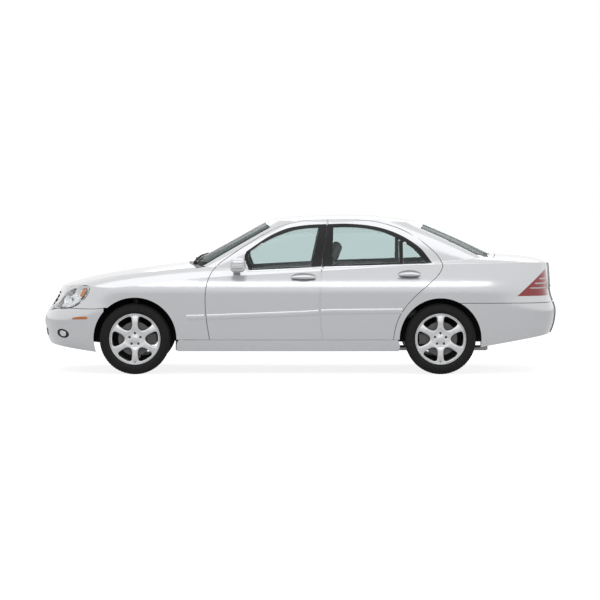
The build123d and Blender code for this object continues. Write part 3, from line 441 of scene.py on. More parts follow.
class Skin:
    """The outer surface of some CAD nodes, to lay pieces on."""

    def __init__(self, *names):
        verts, faces = [], []
        for name in names:
            mesh = nodes[name].data
            base = len(verts)
            verts += [v.co.copy() for v in mesh.vertices]
            faces += [[base + i for i in face.vertices] for face in mesh.polygons]
        self.tree = BVHTree.FromPolygons(verts, faces)

    def hit(self, start, ahead):
        """Where a ray first meets the surface, or None."""
        return self.tree.ray_cast(Vector(start), Vector(ahead))[0]

    def near(self, x, y, z):
        return self.tree.find_nearest(Vector((x, y, z)))[0]

    def reach(self, x, z, sign):
        """How far out the surface is at (x, z) on one side, or None where there is none."""
        hit = self.hit((x, sign * OUTSIDE, z), (0, -sign, 0))
        return None if hit is None else hit.y

    def last_x(self, x0, x1, z, sign, step=0.0005):
        """The last station from x0 towards x1 at which the surface still stands."""
        count = int(abs(x1 - x0) / step)
        for k in range(count):
            x = x0 + (x1 - x0) * k / count
            if self.reach(x, z, sign) is None:
                return x0 + (x1 - x0) * (k - 1) / count
        return x1

    def flank(self, x, z, sign, stand=0.0):
        """The surface seen from the side at (x, z), stood off along y."""
        y = self.reach(x, z, sign)
        if y is None:
            y = self.near(x, sign * NEAR_FLANK, z).y
        return Vector((x, y + sign * stand, z))

    def along_x(self, y, z, end, stand=0.0):
        """The surface seen from the front (end -1) or the back (+1) at (y, z)."""
        hit = self.hit((end * OUTSIDE, y, z), (-end, 0, 0)) or self.near(end * NEAR_END, y, z)
        return Vector((hit.x + end * stand, y, z))

    def top(self, x, y, stand=0.0):
        """The surface seen from above at (x, y)."""
        hit = self.hit((x, y, OUTSIDE), (0, 0, -1)) or self.near(x, y, NEAR_TOP)
        return Vector((x, y, hit.z + stand))


def flank_strip(name, path, profile, sign, skin, body, material, slot, count=60, crisp=40):
    """A strip along a side-view path; its profile is (across, stand) points, up across the path."""
    line = flowing([(x, 0, z) for x, z in path], count)
    rows = []
    middle = None
    for i, p in enumerate(line):
        ahead = (line[min(i + 1, count - 1)] - line[max(i - 1, 0)]).normalized()
        across = Vector((-ahead.z, 0, ahead.x))
        if across.z < 0:
            across = -across
        middle = skin.reach(p.x, p.z, sign) or middle or skin.flank(p.x, p.z, sign).y
        row = []
        for over, stand in profile:
            place = p + across * over
            y = skin.reach(place.x, place.z, sign) or middle
            row.append(Vector((place.x, y + sign * stand, place.z)))
        rows.append(row)
    return piece(name, [solid(rows)], body, material, slot, crisp)


def flank_ring(name, outer, inner, counts, sign, skin, body):
    """A black band on the flank between two outlines, turned in at its inner edge."""
    a = outline_points(outer, counts)
    b = outline_points(inner, counts)
    rows = []
    seats = [skin.flank(*p.lerp(q, BAND_SEAT).xz, sign).y for p, q in zip(a, b)]
    for share in (0.0, 0.02, 0.35, 0.7, BAND_LIP):
        rise = BAND_STAND if share else 0.0
        row = []
        for k, (p, q) in enumerate(zip(a, b)):
            place, seat = p.lerp(q, share), p.lerp(q, max(share, BAND_SEAT))
            seats[k] = skin.reach(seat.x, seat.z, sign) or seats[k]
            row.append(Vector((place.x, seats[k] + sign * rise, place.z)))
        rows.append(row)
    rows.append([p + (q - o.lerp(q, BAND_LIP)) for p, q, o in zip(rows[-1], b, a)])
    rows.append([p - Vector((0, sign * BAND_TURN, 0)) for p in rows[-1]])
    return piece(name, [sheet(rows, across=True)], body, BLACK, "trim_black", ROUND_CRISP)


def rings_on(ring, look, rises):
    """Rows that shrink a ring about its middle by (share, stand); look(a, b, stand) gives each place."""
    core = sum(ring, Vector()) / len(ring)
    return [[look(*core.lerp(p, share).xz, stand) for p in ring] for share, stand in rises]


def patch_on(name, outline, count, look, material, slot, rises):
    """A raised pad over an outline."""
    ring = outline_points([outline + outline[:1]], [count])
    return piece(name, [sheet(rings_on(ring, look, rises), across=True)], "body", material, slot)


# ---------------------------------------------------------------- camera, light and floor
CAMERA_PLACE = Vector((0.0, -34.0, 2.1))
CAMERA_AIM = Vector((0.0, 0.0, 0.687))
FOCAL_LENGTH = 205.2
FLOOR_REACH = 60.0


def aimed(name, data, place, aim):
    """An object that looks from its place towards its aim."""
    obj = bpy.data.objects.new(name, data)
    obj.location = place
    obj.rotation_euler = (Vector(aim) - Vector(place)).to_track_quat("-Z", "Y").to_euler()
    bpy.context.scene.collection.objects.link(obj)
    return obj


def add_camera():
    data = bpy.data.cameras.new("camera")
    data.sensor_width = 36.0
    data.lens = FOCAL_LENGTH
    data.clip_end = 300.0
    bpy.context.scene.camera = aimed("camera", data, CAMERA_PLACE, CAMERA_AIM)


def add_lamp(name, place, aim, size, power):
    data = bpy.data.lights.new(name, "AREA")
    data.shape = "RECTANGLE"
    data.size, data.size_y = size
    data.energy = power
    aimed(name, data, place, aim)


def add_light():
    """White surroundings where they are seen, dimmer as light, and three soft boxes."""
    world = bpy.data.worlds.new("studio")
    bpy.context.scene.world = world
    world.use_nodes = True
    studio = Nodes(world.node_tree)
    ground = studio.tree.nodes["Background"]
    ground.inputs["Color"].default_value = (1.0, 1.0, 1.0, 1.0)
    studio.plug(ground.inputs["Strength"], studio.seen(glossy=0.85) * 0.45 + 0.55)
    add_lamp("overhead", (0.0, -0.5, 5.5), (0.0, 0.0, 0.6), (9.0, 4.5), 70.0)
    add_lamp("near_side", (-0.5, -9.0, 4.6), (0.0, 0.0, 0.7), (9.0, 3.0), 100.0)
    add_lamp("far_side", (1.5, 9.0, 4.6), (0.0, 0.0, 0.7), (8.0, 3.0), 70.0)
    bpy.context.scene.view_settings.view_transform = "Standard"


def add_floor():
    """A pale floor that shows white and keeps the car's shadow."""
    mesh = bpy.data.meshes.new("floor")
    bm = bmesh.new()
    bmesh.ops.create_grid(bm, x_segments=1, y_segments=1, size=FLOOR_REACH)
    bm.to_mesh(mesh)
    bm.free()
    floor = bpy.data.objects.new("floor", mesh)
    bpy.context.scene.collection.objects.link(floor)
    f = Finish("floor", (0.45, 0.45, 0.455), specular_ior_level=0.0, emission_color=(1.0, 1.0, 1.0, 1.0))
    f.rough(f.noise(1.0), 0.9, 1.0)
    f.put("Emission Strength", f.seen(glossy=0.40) * 0.86)
    mesh.materials.append(f.material)


add_camera()
add_light()
add_floor()


# ---------------------------------------------------------------- the CAD nodes' finishes
FINISHES = {
    PAINT: "body_side front_fenders roof_panel front_bumper rear_bumper rear_deck sill_covers "
    "bonnet boot_lid front_door rear_door mirror",
    UNDERSEAL: "floor_pan boot_floor",
    LINER: "front_arch_liner rear_arch_liner",
    LAMP_GLASS: "headlamps",
    LAMP_RED: "tail_lamps",
    GLASS: "front_glass rear_glass",
    SHADED_SCREEN_GLASS: "windscreen rear_window",
    BLACK: "cowl",
    SOFT_DARK: "dashboard",
    LEATHER: "front_seats rear_seat",
    LEATHER_DARK: "steering_wheel",
    ENGINE: "engine_block",
    STEEL: "front_subframe rear_subframe front_knuckle",
    PIPE: "exhaust",
    CHROME: "grille",
    TYRE: "front_tyre rear_tyre",
    ALLOY: "front_rim rear_rim",
}


def finish_nodes():
    """Each CAD node takes its finish by its name without its side."""
    by_name = {name: material for material, names in FINISHES.items() for name in names.split()}
    for name, obj in nodes.items():
        material = by_name[name.removesuffix("_left").removesuffix("_right")]
        for place in obj.material_slots:
            place.material = material


finish_nodes()


# ---------------------------------------------------------------- wheels
TYRE_PITCHES, PITCH_STEPS = 72, 6
SHOULDER_CUT, WALL_CUT, RIB_CUT = 0.0045, 0.0016, 0.004
# The sidewall as (in from its widest, share of its height), and the tread's edge as (in, down).
SIDEWALL = [(0.020, 0.0), (0.005, 0.13), (0.001, 0.30), (0.0, 0.42), (0.0012, 0.45), (0.0002, 0.48)]
SIDEWALL += [(0.002, 0.60), (0.0042, 0.625), (0.0036, 0.66), (0.010, 0.80), (0.019, 0.91)]
TREAD_EDGE = [(0.028, 0.0035), (0.038, 0.0012)]
GROOVES = (0.056, 0.019)
GROOVE = [(0.0055, 0.0005), (0.0045, 0.0075), (-0.0045, 0.0075), (-0.0055, 0.0003)]
# The wheel's face as (radius, outward); its edge between hub and spokes; one window's half outline.
DISH = [(0.0, 0.0770), (0.034, 0.0770), (0.052, 0.0745), (0.078, 0.0760), (0.110, 0.0835), (0.165, 0.0850)]
DISH += [(0.205, 0.0800), (0.226, 0.0745), (0.240, 0.0740)]
CAP_EDGE, FACE_EDGE, FACE_RIM = 0.0345, 0.0790, 0.2355
WINDOW = [(0.0985, 0.0), (0.1005, 0.012), (0.110, 0.028), (0.132, 0.046), (0.160, 0.060), (0.188, 0.0715)]
WINDOW += [(0.2045, 0.072), (0.2145, 0.060), (0.2205, 0.038), (0.2230, 0.0)]
WEDGE_STEPS = [(share, 0.0) for share in (0.0, 0.25, 0.5, 0.72, 0.88, 0.96, 1.0)] + [(1.0, 0.25), (1.0, 1.0)]
SPOKES, BOLTS, BOLT_CIRCLE, BOLT_CUP = 6, 5, 0.056, 0.0125
# Turned parts, as (outward, radius).
CAP = [(0.0770, 0.0345), (0.0790, 0.0335), (0.0815, 0.029), (0.0830, 0.018), (0.0834, 0.0005)]
CAP += [(0.070, 0.0005), (0.070, 0.0345)]
BOLT = [(0.056, 0.0122), (0.0585, 0.0122), (0.0605, 0.0085), (0.0700, 0.0082), (0.0722, 0.0066)]
BOLT += [(0.0728, 0.0042), (0.0690, 0.0038), (0.0690, 0.0004), (0.056, 0.0004)]
DISC = [(-0.022, 0.104), (-0.022, 0.164), (-0.021, 0.165), (0.005, 0.165), (0.006, 0.164), (0.006, 0.094)]
DISC += [(0.030, 0.088), (0.034, 0.078), (0.050, 0.074), (0.056, 0.070), (0.056, 0.027), (-0.008, 0.027)]
DISC += [(-0.008, 0.072), (-0.004, 0.094), (-0.006, 0.104)]


def wheel_centre(name):
    """A wheel node's centre, radius and half width."""
    low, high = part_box(name)
    return (low + high) / 2, (high.z - low.z) / 2, (high.y - low.y) / 2


def make_tyre(name, sign, body):
    """Tread blocks between grooves, a sipe at each pitch, ribs on the sidewall."""
    centre, radius, half = wheel_centre(name)
    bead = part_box(name.replace("tyre", "rim"))[1].z - centre.z
    wall = [(half - inset, bead + share * (radius - bead)) for inset, share in SIDEWALL]
    shoulder = range(len(wall) - 2, len(wall) + len(TREAD_EDGE) + 1)
    wall += [(half - inset, radius - down) for inset, down in TREAD_EDGE]
    wall += [(groove + over, radius - down) for groove in GROOVES for over, down in GROOVE]
    profile = wall + [(-a, r) for a, r in reversed(wall)]
    rows = []
    for k, (c, s) in enumerate(circle(TYRE_PITCHES * PITCH_STEPS)):
        row = []
        for i, (a, r) in enumerate(profile):
            level = min(i, len(profile) - 1 - i)
            phase = (k + (PITCH_STEPS // 2 if i > len(profile) / 2 else 0)) % PITCH_STEPS
            if level in shoulder and phase < 2:
                r -= SHOULDER_CUT
                if level < shoulder[-2]:
                    a -= WALL_CUT if a > 0 else -WALL_CUT
            elif level > shoulder[-1] and phase == 2 and r > radius - 0.002:
                r -= RIB_CUT
            row.append(centre + Vector((r * c, sign * a, r * s)))
        rows.append(row)
    return piece(name + "_tread", [sheet(rows, across=True, along=True)], body, TYRE, "tyre", 50)


def dish(r):
    """How far out the wheel's face stands, by radius."""
    for (r0, a0), (r1, a1) in zip(DISH, DISH[1:]):
        if r <= r1:
            t = (r - r0) / (r1 - r0)
            return a0 + (a1 - a0) * t * t * (3 - 2 * t)
    return DISH[-1][1]


def wedge_edge(mid, turn, corners, inner, outer, spread, snap):
    """Where a ray from (mid, 0) leaves a wedge of a ring, drawn to the wedge's corner if it is near."""
    nearest = min(corners, key=lambda c: abs((c - turn + pi) % (2 * pi) - pi))
    if abs((nearest - turn + pi) % (2 * pi) - pi) <= snap:
        turn = nearest
    dx, dy = cos(turn), sin(turn)
    b = mid * dx
    reach = [-b + sqrt(b * b - mid * mid + outer * outer)]
    inside = b * b - mid * mid + inner * inner
    if inside > 0 and -b - sqrt(inside) > 0:
        reach.append(-b - sqrt(inside))
    for side in (1, -1):
        nx, ny = -sin(side * spread), cos(side * spread)
        lean = dx * nx + dy * ny
        if abs(lean) > 1e-6 and -mid * nx / lean > 0:
            reach.append(-mid * nx / lean)
    return mid + dx * min(reach), dy * min(reach)


def holed_wedge(hole, inner, outer, spread, depth, roll):
    """One wedge of a wheel's face with a rounded hole: rows of (along, across, outward) points.

    The hole's points start at its inner end and go round; each row goes from the wedge's edge
    to the hole, over the rolled lip and down its wall."""
    mid = sum(u for u, v in hole) / len(hole)
    corners = [atan2(r * sin(g), r * cos(g) - mid) for r in (inner, outer) for g in (spread, -spread)]
    snap = pi / len(hole)
    edge = [wedge_edge(mid, atan2(v, u - mid), corners, inner, outer, spread, snap) for u, v in hole]
    rows = []
    for share, drop in WEDGE_STEPS:
        row = []
        for (u0, v0), (u1, v1) in zip(edge, hole):
            u, v = u0 + (u1 - u0) * share, v0 + (v1 - v0) * share
            row.append((u, v, dish(hypot(u, v)) - roll * share**5 - depth * drop))
        rows.append(row)
    return rows


def wheel_face(name, centre, sign, body, wedges, hole, inner, outer, depth, roll, phase):
    """A ring of like wedges round the wheel's centre."""
    wedge = holed_wedge(hole, inner, outer, pi / wedges, depth, roll)
    forms = []
    for k in range(wedges):
        c, s = cos(phase + 2 * pi * k / wedges), sin(phase + 2 * pi * k / wedges)
        rows = []
        for row in wedge:
            rows.append([centre + Vector((u * c - v * s, sign * a, u * s + v * c)) for u, v, a in row])
        forms.append(sheet(rows, across=True))
    return piece(name, forms, body, ALLOY, "alloy", 38)


def half_loop(points, count):
    """A hole's outline from its half: points from the inner end to the outer end, mirrored."""
    side = [(p.x, p.y) for p in flowing([(u, v, 0) for u, v in points], count)]
    return side + [(u, -v) for u, v in reversed(side[1:-1])]


def make_wheel(name, sign, body):
    """Six broad spokes, bolts in their cups, a plain cap, the barrel, disc and hub."""
    centre, radius, half = wheel_centre(name)
    window = half_loop(WINDOW, 25)
    face = wheel_face(
        name + "_spokes", centre, sign, body, SPOKES, window, FACE_EDGE, FACE_RIM, 0.034, 0.006, 0.0
    )
    cup = [(BOLT_CIRCLE - BOLT_CUP * cos(pi * k / 8), BOLT_CUP * sin(pi * k / 8)) for k in range(9)]
    cup = half_loop(cup, 13)
    wheel_face(name + "_hub", centre, sign, body, BOLTS, cup, CAP_EDGE, FACE_EDGE, 0.016, 0.0012, pi / 2)
    lip = [(half, radius), (half + 0.0005, radius - 0.003), (half - 0.002, radius - 0.0065)]
    lip += [(half - 0.010, radius - 0.0095), (0.078, 0.2362), (0.0738, 0.2350), (0.066, 0.2355)]
    lip += [(0.050, radius - 0.018), (-0.084, radius - 0.022), (-half + 0.014, radius - 0.010)]
    lip += [(-half + 0.001, radius - 0.005), (-half, radius)]
    turned(name + "_barrel", lip, centre, sign, body, ALLOY, "alloy", 120, 40)
    turned(name + "_cap", CAP, centre, sign, body, ALLOY, "alloy", 48)
    for k in range(BOLTS):
        turn = pi / 2 + 2 * pi * k / BOLTS
        place = centre + Vector((BOLT_CIRCLE * cos(turn), 0, BOLT_CIRCLE * sin(turn)))
        turned(f"{name}_bolt_{k + 1}", BOLT, place, sign, body, IRON, "alloy", 12, 30)
    turned(name + "_disc", DISC, centre, sign, body, IRON, "chassis_steel")
    stem = [centre + Vector((0, sign * a, -r)) for a, r in ((0.070, 0.226), (0.080, 0.221), (0.088, 0.2165))]
    tube(name + "_valve", stem, 0.0042, body, BLACK, "tyre", 10, 8)
    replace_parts(face, name)


def make_wheels():
    for end in ("front", "rear"):
        for side, sign in SIDES:
            body = f"{end}_wheel_{side}"
            tread = make_tyre(f"{end}_tyre_{side}", sign, body)
            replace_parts(tread, f"{end}_tyre_{side}")
            make_wheel(f"{end}_rim_{side}", sign, body)


make_wheels()


# ---------------------------------------------------------------- windows and trim on the flanks
def mm(*points):
    """Points written in millimetres, as metres."""
    return [(a / 1000, b / 1000) for a, b in points]


# Outlines seen from the side, as the runs between their corners.
FRONT_BAND = [
    mm((-497, 1013), (-540, 1128), (-521, 1190)),
    mm((-521, 1190), (-341, 1313), (-220, 1377), (-93, 1421), (82, 1447), (254, 1455)),
]
FRONT_PANE = [
    mm((-470, 1022), (-506, 1128), (-488, 1180)),
    mm((-488, 1180), (-341, 1280), (-215, 1340), (-60, 1392), (90, 1414), (190, 1418)),
    mm((190, 1418), (110, 1052)),
    mm((110, 1052), (-470, 1022)),
]
REAR_BAND = mm(
    (438, 1459), (600, 1450), (752, 1427), (886, 1388), (1000, 1338), (1100, 1278), (1190, 1204), (1284, 1081)
)
REAR_PANE = [
    mm((326, 1420), (450, 1424), (600, 1416), (740, 1393), (860, 1356), (962, 1306), (1090, 1226))
    + mm((1170, 1156), (1228, 1092)),
    mm((1228, 1092), (312, 1062)),
    mm((312, 1062), (326, 1420)),
]
DIVISION = mm((982, 1078), (982, 1296))
FRONT_BELT = mm((-520, 1006), (-200, 1021), (205, 1040))
REAR_BELT = mm((214, 1041), (700, 1057), (1300, 1073))
MOULDING_TOP = mm((-1100, 580), (-909, 584), (0, 619), (290, 638), (1005, 643))
PILLAR_LINE = mm((207, 1044), (236, 1280), (259, 1462))
PILLAR_TOP, PILLAR_DROP = 1.455, 0.407
# Strips' sections, as (up across the path, stand off the skin).
RUB_STRIP = [(-0.026, -0.001), (-0.0235, 0.006), (-0.016, 0.0095), (0.0, 0.0105), (0.015, 0.0098)]
RUB_STRIP += [(0.0205, 0.0085), (0.0205, -0.001)]
BEAD = [(0.0205, -0.001), (0.0208, 0.0092), (0.0222, 0.0106), (0.0242, 0.0100), (0.0258, 0.0075)]
BEAD += [(0.0262, -0.001)]
BELT = [(-0.007, 0.0), (-0.0065, 0.004), (-0.002, 0.0062), (0.004, 0.005), (0.006, 0.0)]
WINDOW_BAR = [(-0.0190, -0.008), (-0.0190, 0.0015), (0.0190, 0.0015), (0.0190, -0.008)]
HANDLE_RISES = [(1.0, 0.0), (0.985, 0.0022), (0.95, 0.0026), (0.90, 0.0012)]
HANDLE_RISES += [(share, 0.0010) for share in (0.7, 0.3, 0.02)]
PILLAR_COVER = [(-0.030, -0.0005), (-0.028, 0.0012), (0.028, 0.0012), (0.030, -0.0005)]


def moulding_level(x):
    """Height of the side moulding's middle at a station."""
    for (x0, z0), (x1, z1) in zip(MOULDING_TOP, MOULDING_TOP[1:]):
        if x <= x1 or x1 == MOULDING_TOP[-1][0]:
            return z0 + (z1 - z0) * (x - x0) / (x1 - x0) + RUB_STRIP[0][0]


def side_moulding(name, x0, x1, sign, skin, body):
    """A body-coloured rubbing strip with a bright bead along its top."""
    stations = [x0 + (x1 - x0) * k / 8 for k in range(9)]
    path = [(x, moulding_level(x)) for x in stations]
    flank_strip(name, path, RUB_STRIP, sign, skin, body, PAINT, "paint", 40)
    flank_strip(name + "_bead", path, BEAD, sign, skin, body, CHROME, "bright_trim", 40)


def handle_shell(name, x0, x1, z, sign, skin, body):
    """An oval dished plate in the door, darker than the paint as painted shade for its recess, and a slim
    grip across it, over the CAD bar and its feet.
    """
    mid, reach = (x0 + x1) / 2, (x1 - x0) / 2
    ring = [Vector((mid + a, 0, z + b)) for a, b in circle(48, reach, 0.041)]
    rows = rings_on(ring, lambda a, b, stand: skin.flank(a, b, sign, stand), HANDLE_RISES)
    piece(name + "_plate", [sheet(rows, across=True)], body, HANDLE_PAINTED_SHADE, "paint", 50)
    grip = []
    for k in range(25):
        t = -1 + 2 * k / 24
        bow = 1 - t * t
        fat = 0.019 * (1 - 0.72 * abs(t) ** 3)
        middle = Vector((mid + (reach - 0.004) * t, sign * (0.940 + 0.0012 * bow), z + 0.004 * bow))
        grip.append([middle + Vector((0, sign * a, b)) for a, b in circle(16, 0.013, fat)])
    piece(name + "_grip", [solid(grip)], body, PAINT, "paint", 60)


def beside_pillar(skin, x0, x1, sign):
    """The door's edge at the middle pillar, from the roof down to the belt."""
    levels = [PILLAR_TOP - PILLAR_DROP * k / 9 for k in range(10)]
    return [(skin.last_x(x0, x1, z, sign), z) for z in levels]


def make_flank(side, sign):
    front, rear = f"front_door_{side}", f"rear_door_{side}"
    front_skin, rear_skin = Skin(front), Skin(rear)
    edge = beside_pillar(front_skin, 0.195, 0.29, sign)
    band = [FRONT_BAND[0], FRONT_BAND[1][:-1] + edge[:1], edge, [edge[-1], FRONT_BAND[0][0]]]
    flank_ring(front + "_band", band, FRONT_PANE, (8, 30, 16, 24), sign, front_skin, front)
    edge = beside_pillar(rear_skin, 0.300, 0.19, sign)[::-1]
    band = [edge[-1:] + REAR_BAND, [REAR_BAND[-1], edge[0]], edge]
    flank_ring(rear + "_band", band, REAR_PANE, (44, 36, 16), sign, rear_skin, rear)
    flank_strip(rear + "_division", DIVISION, WINDOW_BAR, sign, rear_skin, rear, BLACK, "trim_black", 24)
    post_skin = Skin(f"body_side_{side}")
    flank_strip(
        f"pillar_cover_{side}", PILLAR_LINE, PILLAR_COVER, sign, post_skin, "body", BLACK, "trim_black", 24
    )
    flank_strip(front + "_belt", FRONT_BELT, BELT, sign, front_skin, front, CHROME, "bright_trim")
    flank_strip(rear + "_belt", REAR_BELT, BELT, sign, rear_skin, rear, CHROME, "bright_trim")
    side_moulding(f"wing_moulding_{side}", -1.100, -0.928, sign, Skin("front_fenders"), "body")
    side_moulding(front + "_moulding", -0.903, 0.180, sign, front_skin, front)
    side_moulding(rear + "_moulding", 0.204, 0.990, sign, rear_skin, rear)
    handle_shell(front + "_handle", -0.088, 0.156, 0.945, sign, front_skin, front)
    handle_shell(rear + "_handle", 0.950, 1.172, 0.972, sign, rear_skin, rear)


for side, sign in SIDES:
    make_flank(side, sign)


# ---------------------------------------------------------------- lamps, grille and the two ends
LAMP_EDGE = mm((-2400, 632), (-2330, 728), (-2235, 812), (-2140, 849), (-2066, 855), (-2045, 826))
LAMP_EDGE += mm((-2066, 772), (-2112, 714), (-2180, 664), (-2260, 638), (-2330, 630), (-2400, 632))
TURN_LAMP = mm((-2118, 742), (-2090, 782), (-2072, 828), (-2092, 834), (-2120, 800), (-2140, 762))
MARKER = mm((-2212, 531), (-2070, 536), (-2064, 545), (-2072, 562), (-2150, 560), (-2214, 547))
INTAKE = mm((-300, 352), (-330, 392), (-312, 424), (0, 428), (312, 424), (330, 392), (300, 352), (0, 346))
# (share, stand) steps of pads, from the rim inwards.
HOUSING = [(0.975, -0.009), (0.955, -0.016), (0.93, -0.045), (0.90, -0.075), (0.6, -0.085), (0.3, -0.088)]
HOUSING += [(0.03, -0.088)]
BEZEL = [(0.985, -0.0068), (0.945, -0.0075), (0.945, -0.016)]
TURN_RISES = [(1.0, -0.030), (0.97, -0.022), (0.6, -0.019), (0.05, -0.018)]
MARKER_RISES = [(1.0, -0.001), (0.97, 0.0035), (0.9, 0.006), (0.5, 0.0072), (0.03, 0.0075)]
RECESS_RISES = [(1.0, 0.0005), (0.97, 0.0022), (0.90, 0.0012), (0.6, 0.0010), (0.03, 0.0010)]
FOG_RISES = [(1.0, 0.0010), (1.0, 0.008), (0.93, 0.0105), (0.86, 0.0085), (0.6, 0.0095), (0.03, 0.011)]
INTAKE_RISES = [(1.0, 0.0005), (0.98, 0.0024), (0.94, 0.0012)]
INTAKE_RISES += [(0.9 - 0.067 * k, 0.0012) for k in range(14)]
# A headlamp's bowl and bulb shield, as shares of its radius and depth; its bowls as (x, z, radius).
BOWL = [(1.0, 0.0), (0.98, 0.002), (0.94, -0.02), (0.8, -0.34), (0.6, -0.62), (0.4, -0.82), (0.2, -0.93)]
BOWL += [(0.02, -0.96)]
SHIELD = [(0.02, -0.25), (0.16, -0.27), (0.22, -0.33), (0.22, -0.45), (0.12, -0.60), (0.12, -0.90)]
BOWLS = ((-2.262, 0.700, 0.052), (-2.150, 0.772, 0.046))
BOWL_BACK, BOWL_DEPTH = 0.062, 0.055
# The pale bars across the tail lamp run from its slanting front edge.
TAIL_BAR_LEVELS = (0.836, 0.880, 0.924)
TAIL_FRONT, TAIL_FOOT, TAIL_SLOPE, TAIL_END = 2.125, 0.745, 0.294 / 0.262, 2.398
TAIL_BAR = [(-1, -0.001), (-0.85, 0.0016), (0, 0.0024), (0.85, 0.0016), (1, -0.001)]
FOG_PLACE = (0.715, 0.392)
# The grille's frame, its flare from foot to head, and the levels of its bars over its foot.
FRAME_WIDE, CENTRE_BAR = 0.0135, 0.0095
GRILLE_HALF, GRILLE_FLARE, RUN_IN = 0.2335, 0.066, 0.0005
GRILLE_RIM = (0.016, 0.020, 0.024, 0.028)
SLAT_PITCH, SLAT_COUNT, SLAT_FOOT, SLAT_HEAD = 0.039, 4, 0.0318, 0.0453
CROWN, BAR_DEPTH = 0.0015, 0.012
PLATES = (("front_bumper", -1, 0.505), ("rear_bumper", 1, 0.560))
PLATE_HALF, PLATE_TALL = 0.152, 0.056
PLATE_RIM = [(-0.155, 0.050), (-0.155, -0.050), (-0.149, -0.057), (0.149, -0.057), (0.155, -0.050)]
PLATE_RIM += [(0.155, 0.050), (0.149, 0.057), (-0.149, 0.057), (-0.155, 0.050)]


def turned_lamp(name, profile, place, aim, radius, steps, crisp):
    """A bright (share of radius, share of depth) profile spun about a line of sight."""
    ahead = Vector(aim).normalized()
    u = ahead.cross(UP).normalized()
    v = u.cross(ahead)
    rows = []
    for c, s in circle(steps):
        out = (u * c + v * s) * radius
        rows.append([place + out * share + ahead * BOWL_DEPTH * back for share, back in profile])
    piece(name, [sheet(rows, along=True)], "body", CHROME, "bright_trim", crisp)


def make_headlamp(side, sign):
    """A bright housing behind the lens, two bowls, a bezel and an amber turn lamp."""
    lens_skin = Skin("headlamps")
    edge = outline_points([LAMP_EDGE], [60])

    def inside(x, z, stand):
        return lens_skin.flank(x, z, sign, stand)

    def inlay(name, ring, rises, material, slot, crisp):
        rows = rings_on(ring, inside, rises)
        piece(f"{name}_{side}", [sheet(rows, across=True)], "body", material, slot, crisp)

    inlay("headlamp_housing", edge, HOUSING, LAMP_SILVER, "bright_trim", 40)
    for k, (x, z, radius) in enumerate(BOWLS):
        name, place, aim = f"headlamp_{side}_{k + 1}", inside(x, z, -BOWL_BACK), (-0.62, sign * 0.78, 0.0)
        turned_lamp(name + "_bowl", BOWL, place, aim, radius, 40, 60)
        turned_lamp(name + "_shield", SHIELD, place, aim, radius, 24, 40)
    inlay("headlamp_bezel", edge, BEZEL, CHROME, "bright_trim", 50)
    turn = outline_points([TURN_LAMP + TURN_LAMP[:1]], [30])
    inlay("turn_lamp", turn, TURN_RISES, AMBER, "lamp_glass", 50)


def make_tail(side, sign):
    """Three pale bars across the red lens."""
    skin = Skin("tail_lamps", "rear_bumper", f"body_side_{side}")
    for k, z in enumerate(TAIL_BAR_LEVELS):
        x0 = TAIL_FRONT + (z - TAIL_FOOT) * TAIL_SLOPE
        rows = []
        for i in range(25):
            x = x0 + (TAIL_END - x0) * i / 24
            fat = 0.0085 * min(1.0, (i + 0.4) / 4)
            rows.append([skin.flank(x, z + up * fat, sign, stand) for up, stand in TAIL_BAR])
        piece(f"tail_bar_{side}_{k + 1}", [sheet(rows)], "body", LAMP_PALE, "lamp_red", 50)


def make_markers(side, sign):
    """The amber marker on the front bumper and the fog lamp in its dark recess."""
    bumper = Skin("front_bumper")

    def beside(x, z, stand):
        return bumper.flank(x, z, sign, stand)

    def before(y, z, stand):
        return bumper.along_x(sign * y, z, -1, stand)

    patch_on(f"side_marker_{side}", MARKER, 40, beside, AMBER, "lamp_glass", MARKER_RISES)
    y, z = FOG_PLACE
    hole = [(y + a * (1.5 if a < 0 else 1.0), z + b) for a, b in circle(16, 0.052, 0.044)]
    patch_on(f"fog_recess_{side}", hole, 44, before, BLACK, "trim_black", RECESS_RISES)
    lamp = [(y + 0.002 + a, z + b) for a, b in circle(16, 0.028, 0.028)]
    patch_on(f"fog_lamp_{side}", lamp, 36, before, LAMP_SILVER, "bright_trim", FOG_RISES)


def grille_bar(grille, low, high, z0, z1, crown, sign):
    """One bowed bar or slot on one side of the middle, from the centre bar out to the frame's rim."""
    rows = []
    for j in range(17):
        row = []
        for z, out in ((z0, crown - 0.001), ((z0 + z1) / 2, crown), (z1, crown - 0.001)):
            far = GRILLE_HALF + GRILLE_FLARE * (z - low.z) / (high.z - low.z)
            y = CENTRE_BAR + (far + RUN_IN) * j / 16
            middle = grille.along_x(0, z, -1).x
            rim = min(grille.along_x(far + a, z, -1).x for a in GRILLE_RIM)
            row.append(Vector((middle + (rim - middle) * (y / (far + 0.020)) ** 2 - out, sign * y, z)))
        back = max(p.x for p in row) + BAR_DEPTH
        row += [Vector((back, row[2].y, z1)), Vector((back, row[0].y, z0))]
        rows.append(row)
    return solid(rows)


def make_grille_bars():
    """Bowed bright bars, with dark sheets of painted shade for the slots between them, that fill the grille's
    frame out to its rim.
    """
    grille = Skin("grille")
    low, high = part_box("grille")
    edges = [low.z + FRAME_WIDE]
    for k in range(SLAT_COUNT):
        edges += [low.z + SLAT_FOOT + SLAT_PITCH * k, low.z + SLAT_HEAD + SLAT_PITCH * k]
    edges.append(high.z - FRAME_WIDE)
    pairs = list(zip(edges, edges[1:]))
    for name, levels, crown, material, slot in (
        ("grille_slot_shade", pairs[0::2], -CROWN, MESH, "trim_black"),
        ("grille_bars", pairs[1::2], CROWN, CHROME, "bright_trim"),
    ):
        forms = [grille_bar(grille, low, high, z0, z1, crown, sign) for z0, z1 in levels for sign in (-1, 1)]
        piece(name, forms, "bonnet", material, slot, 30)


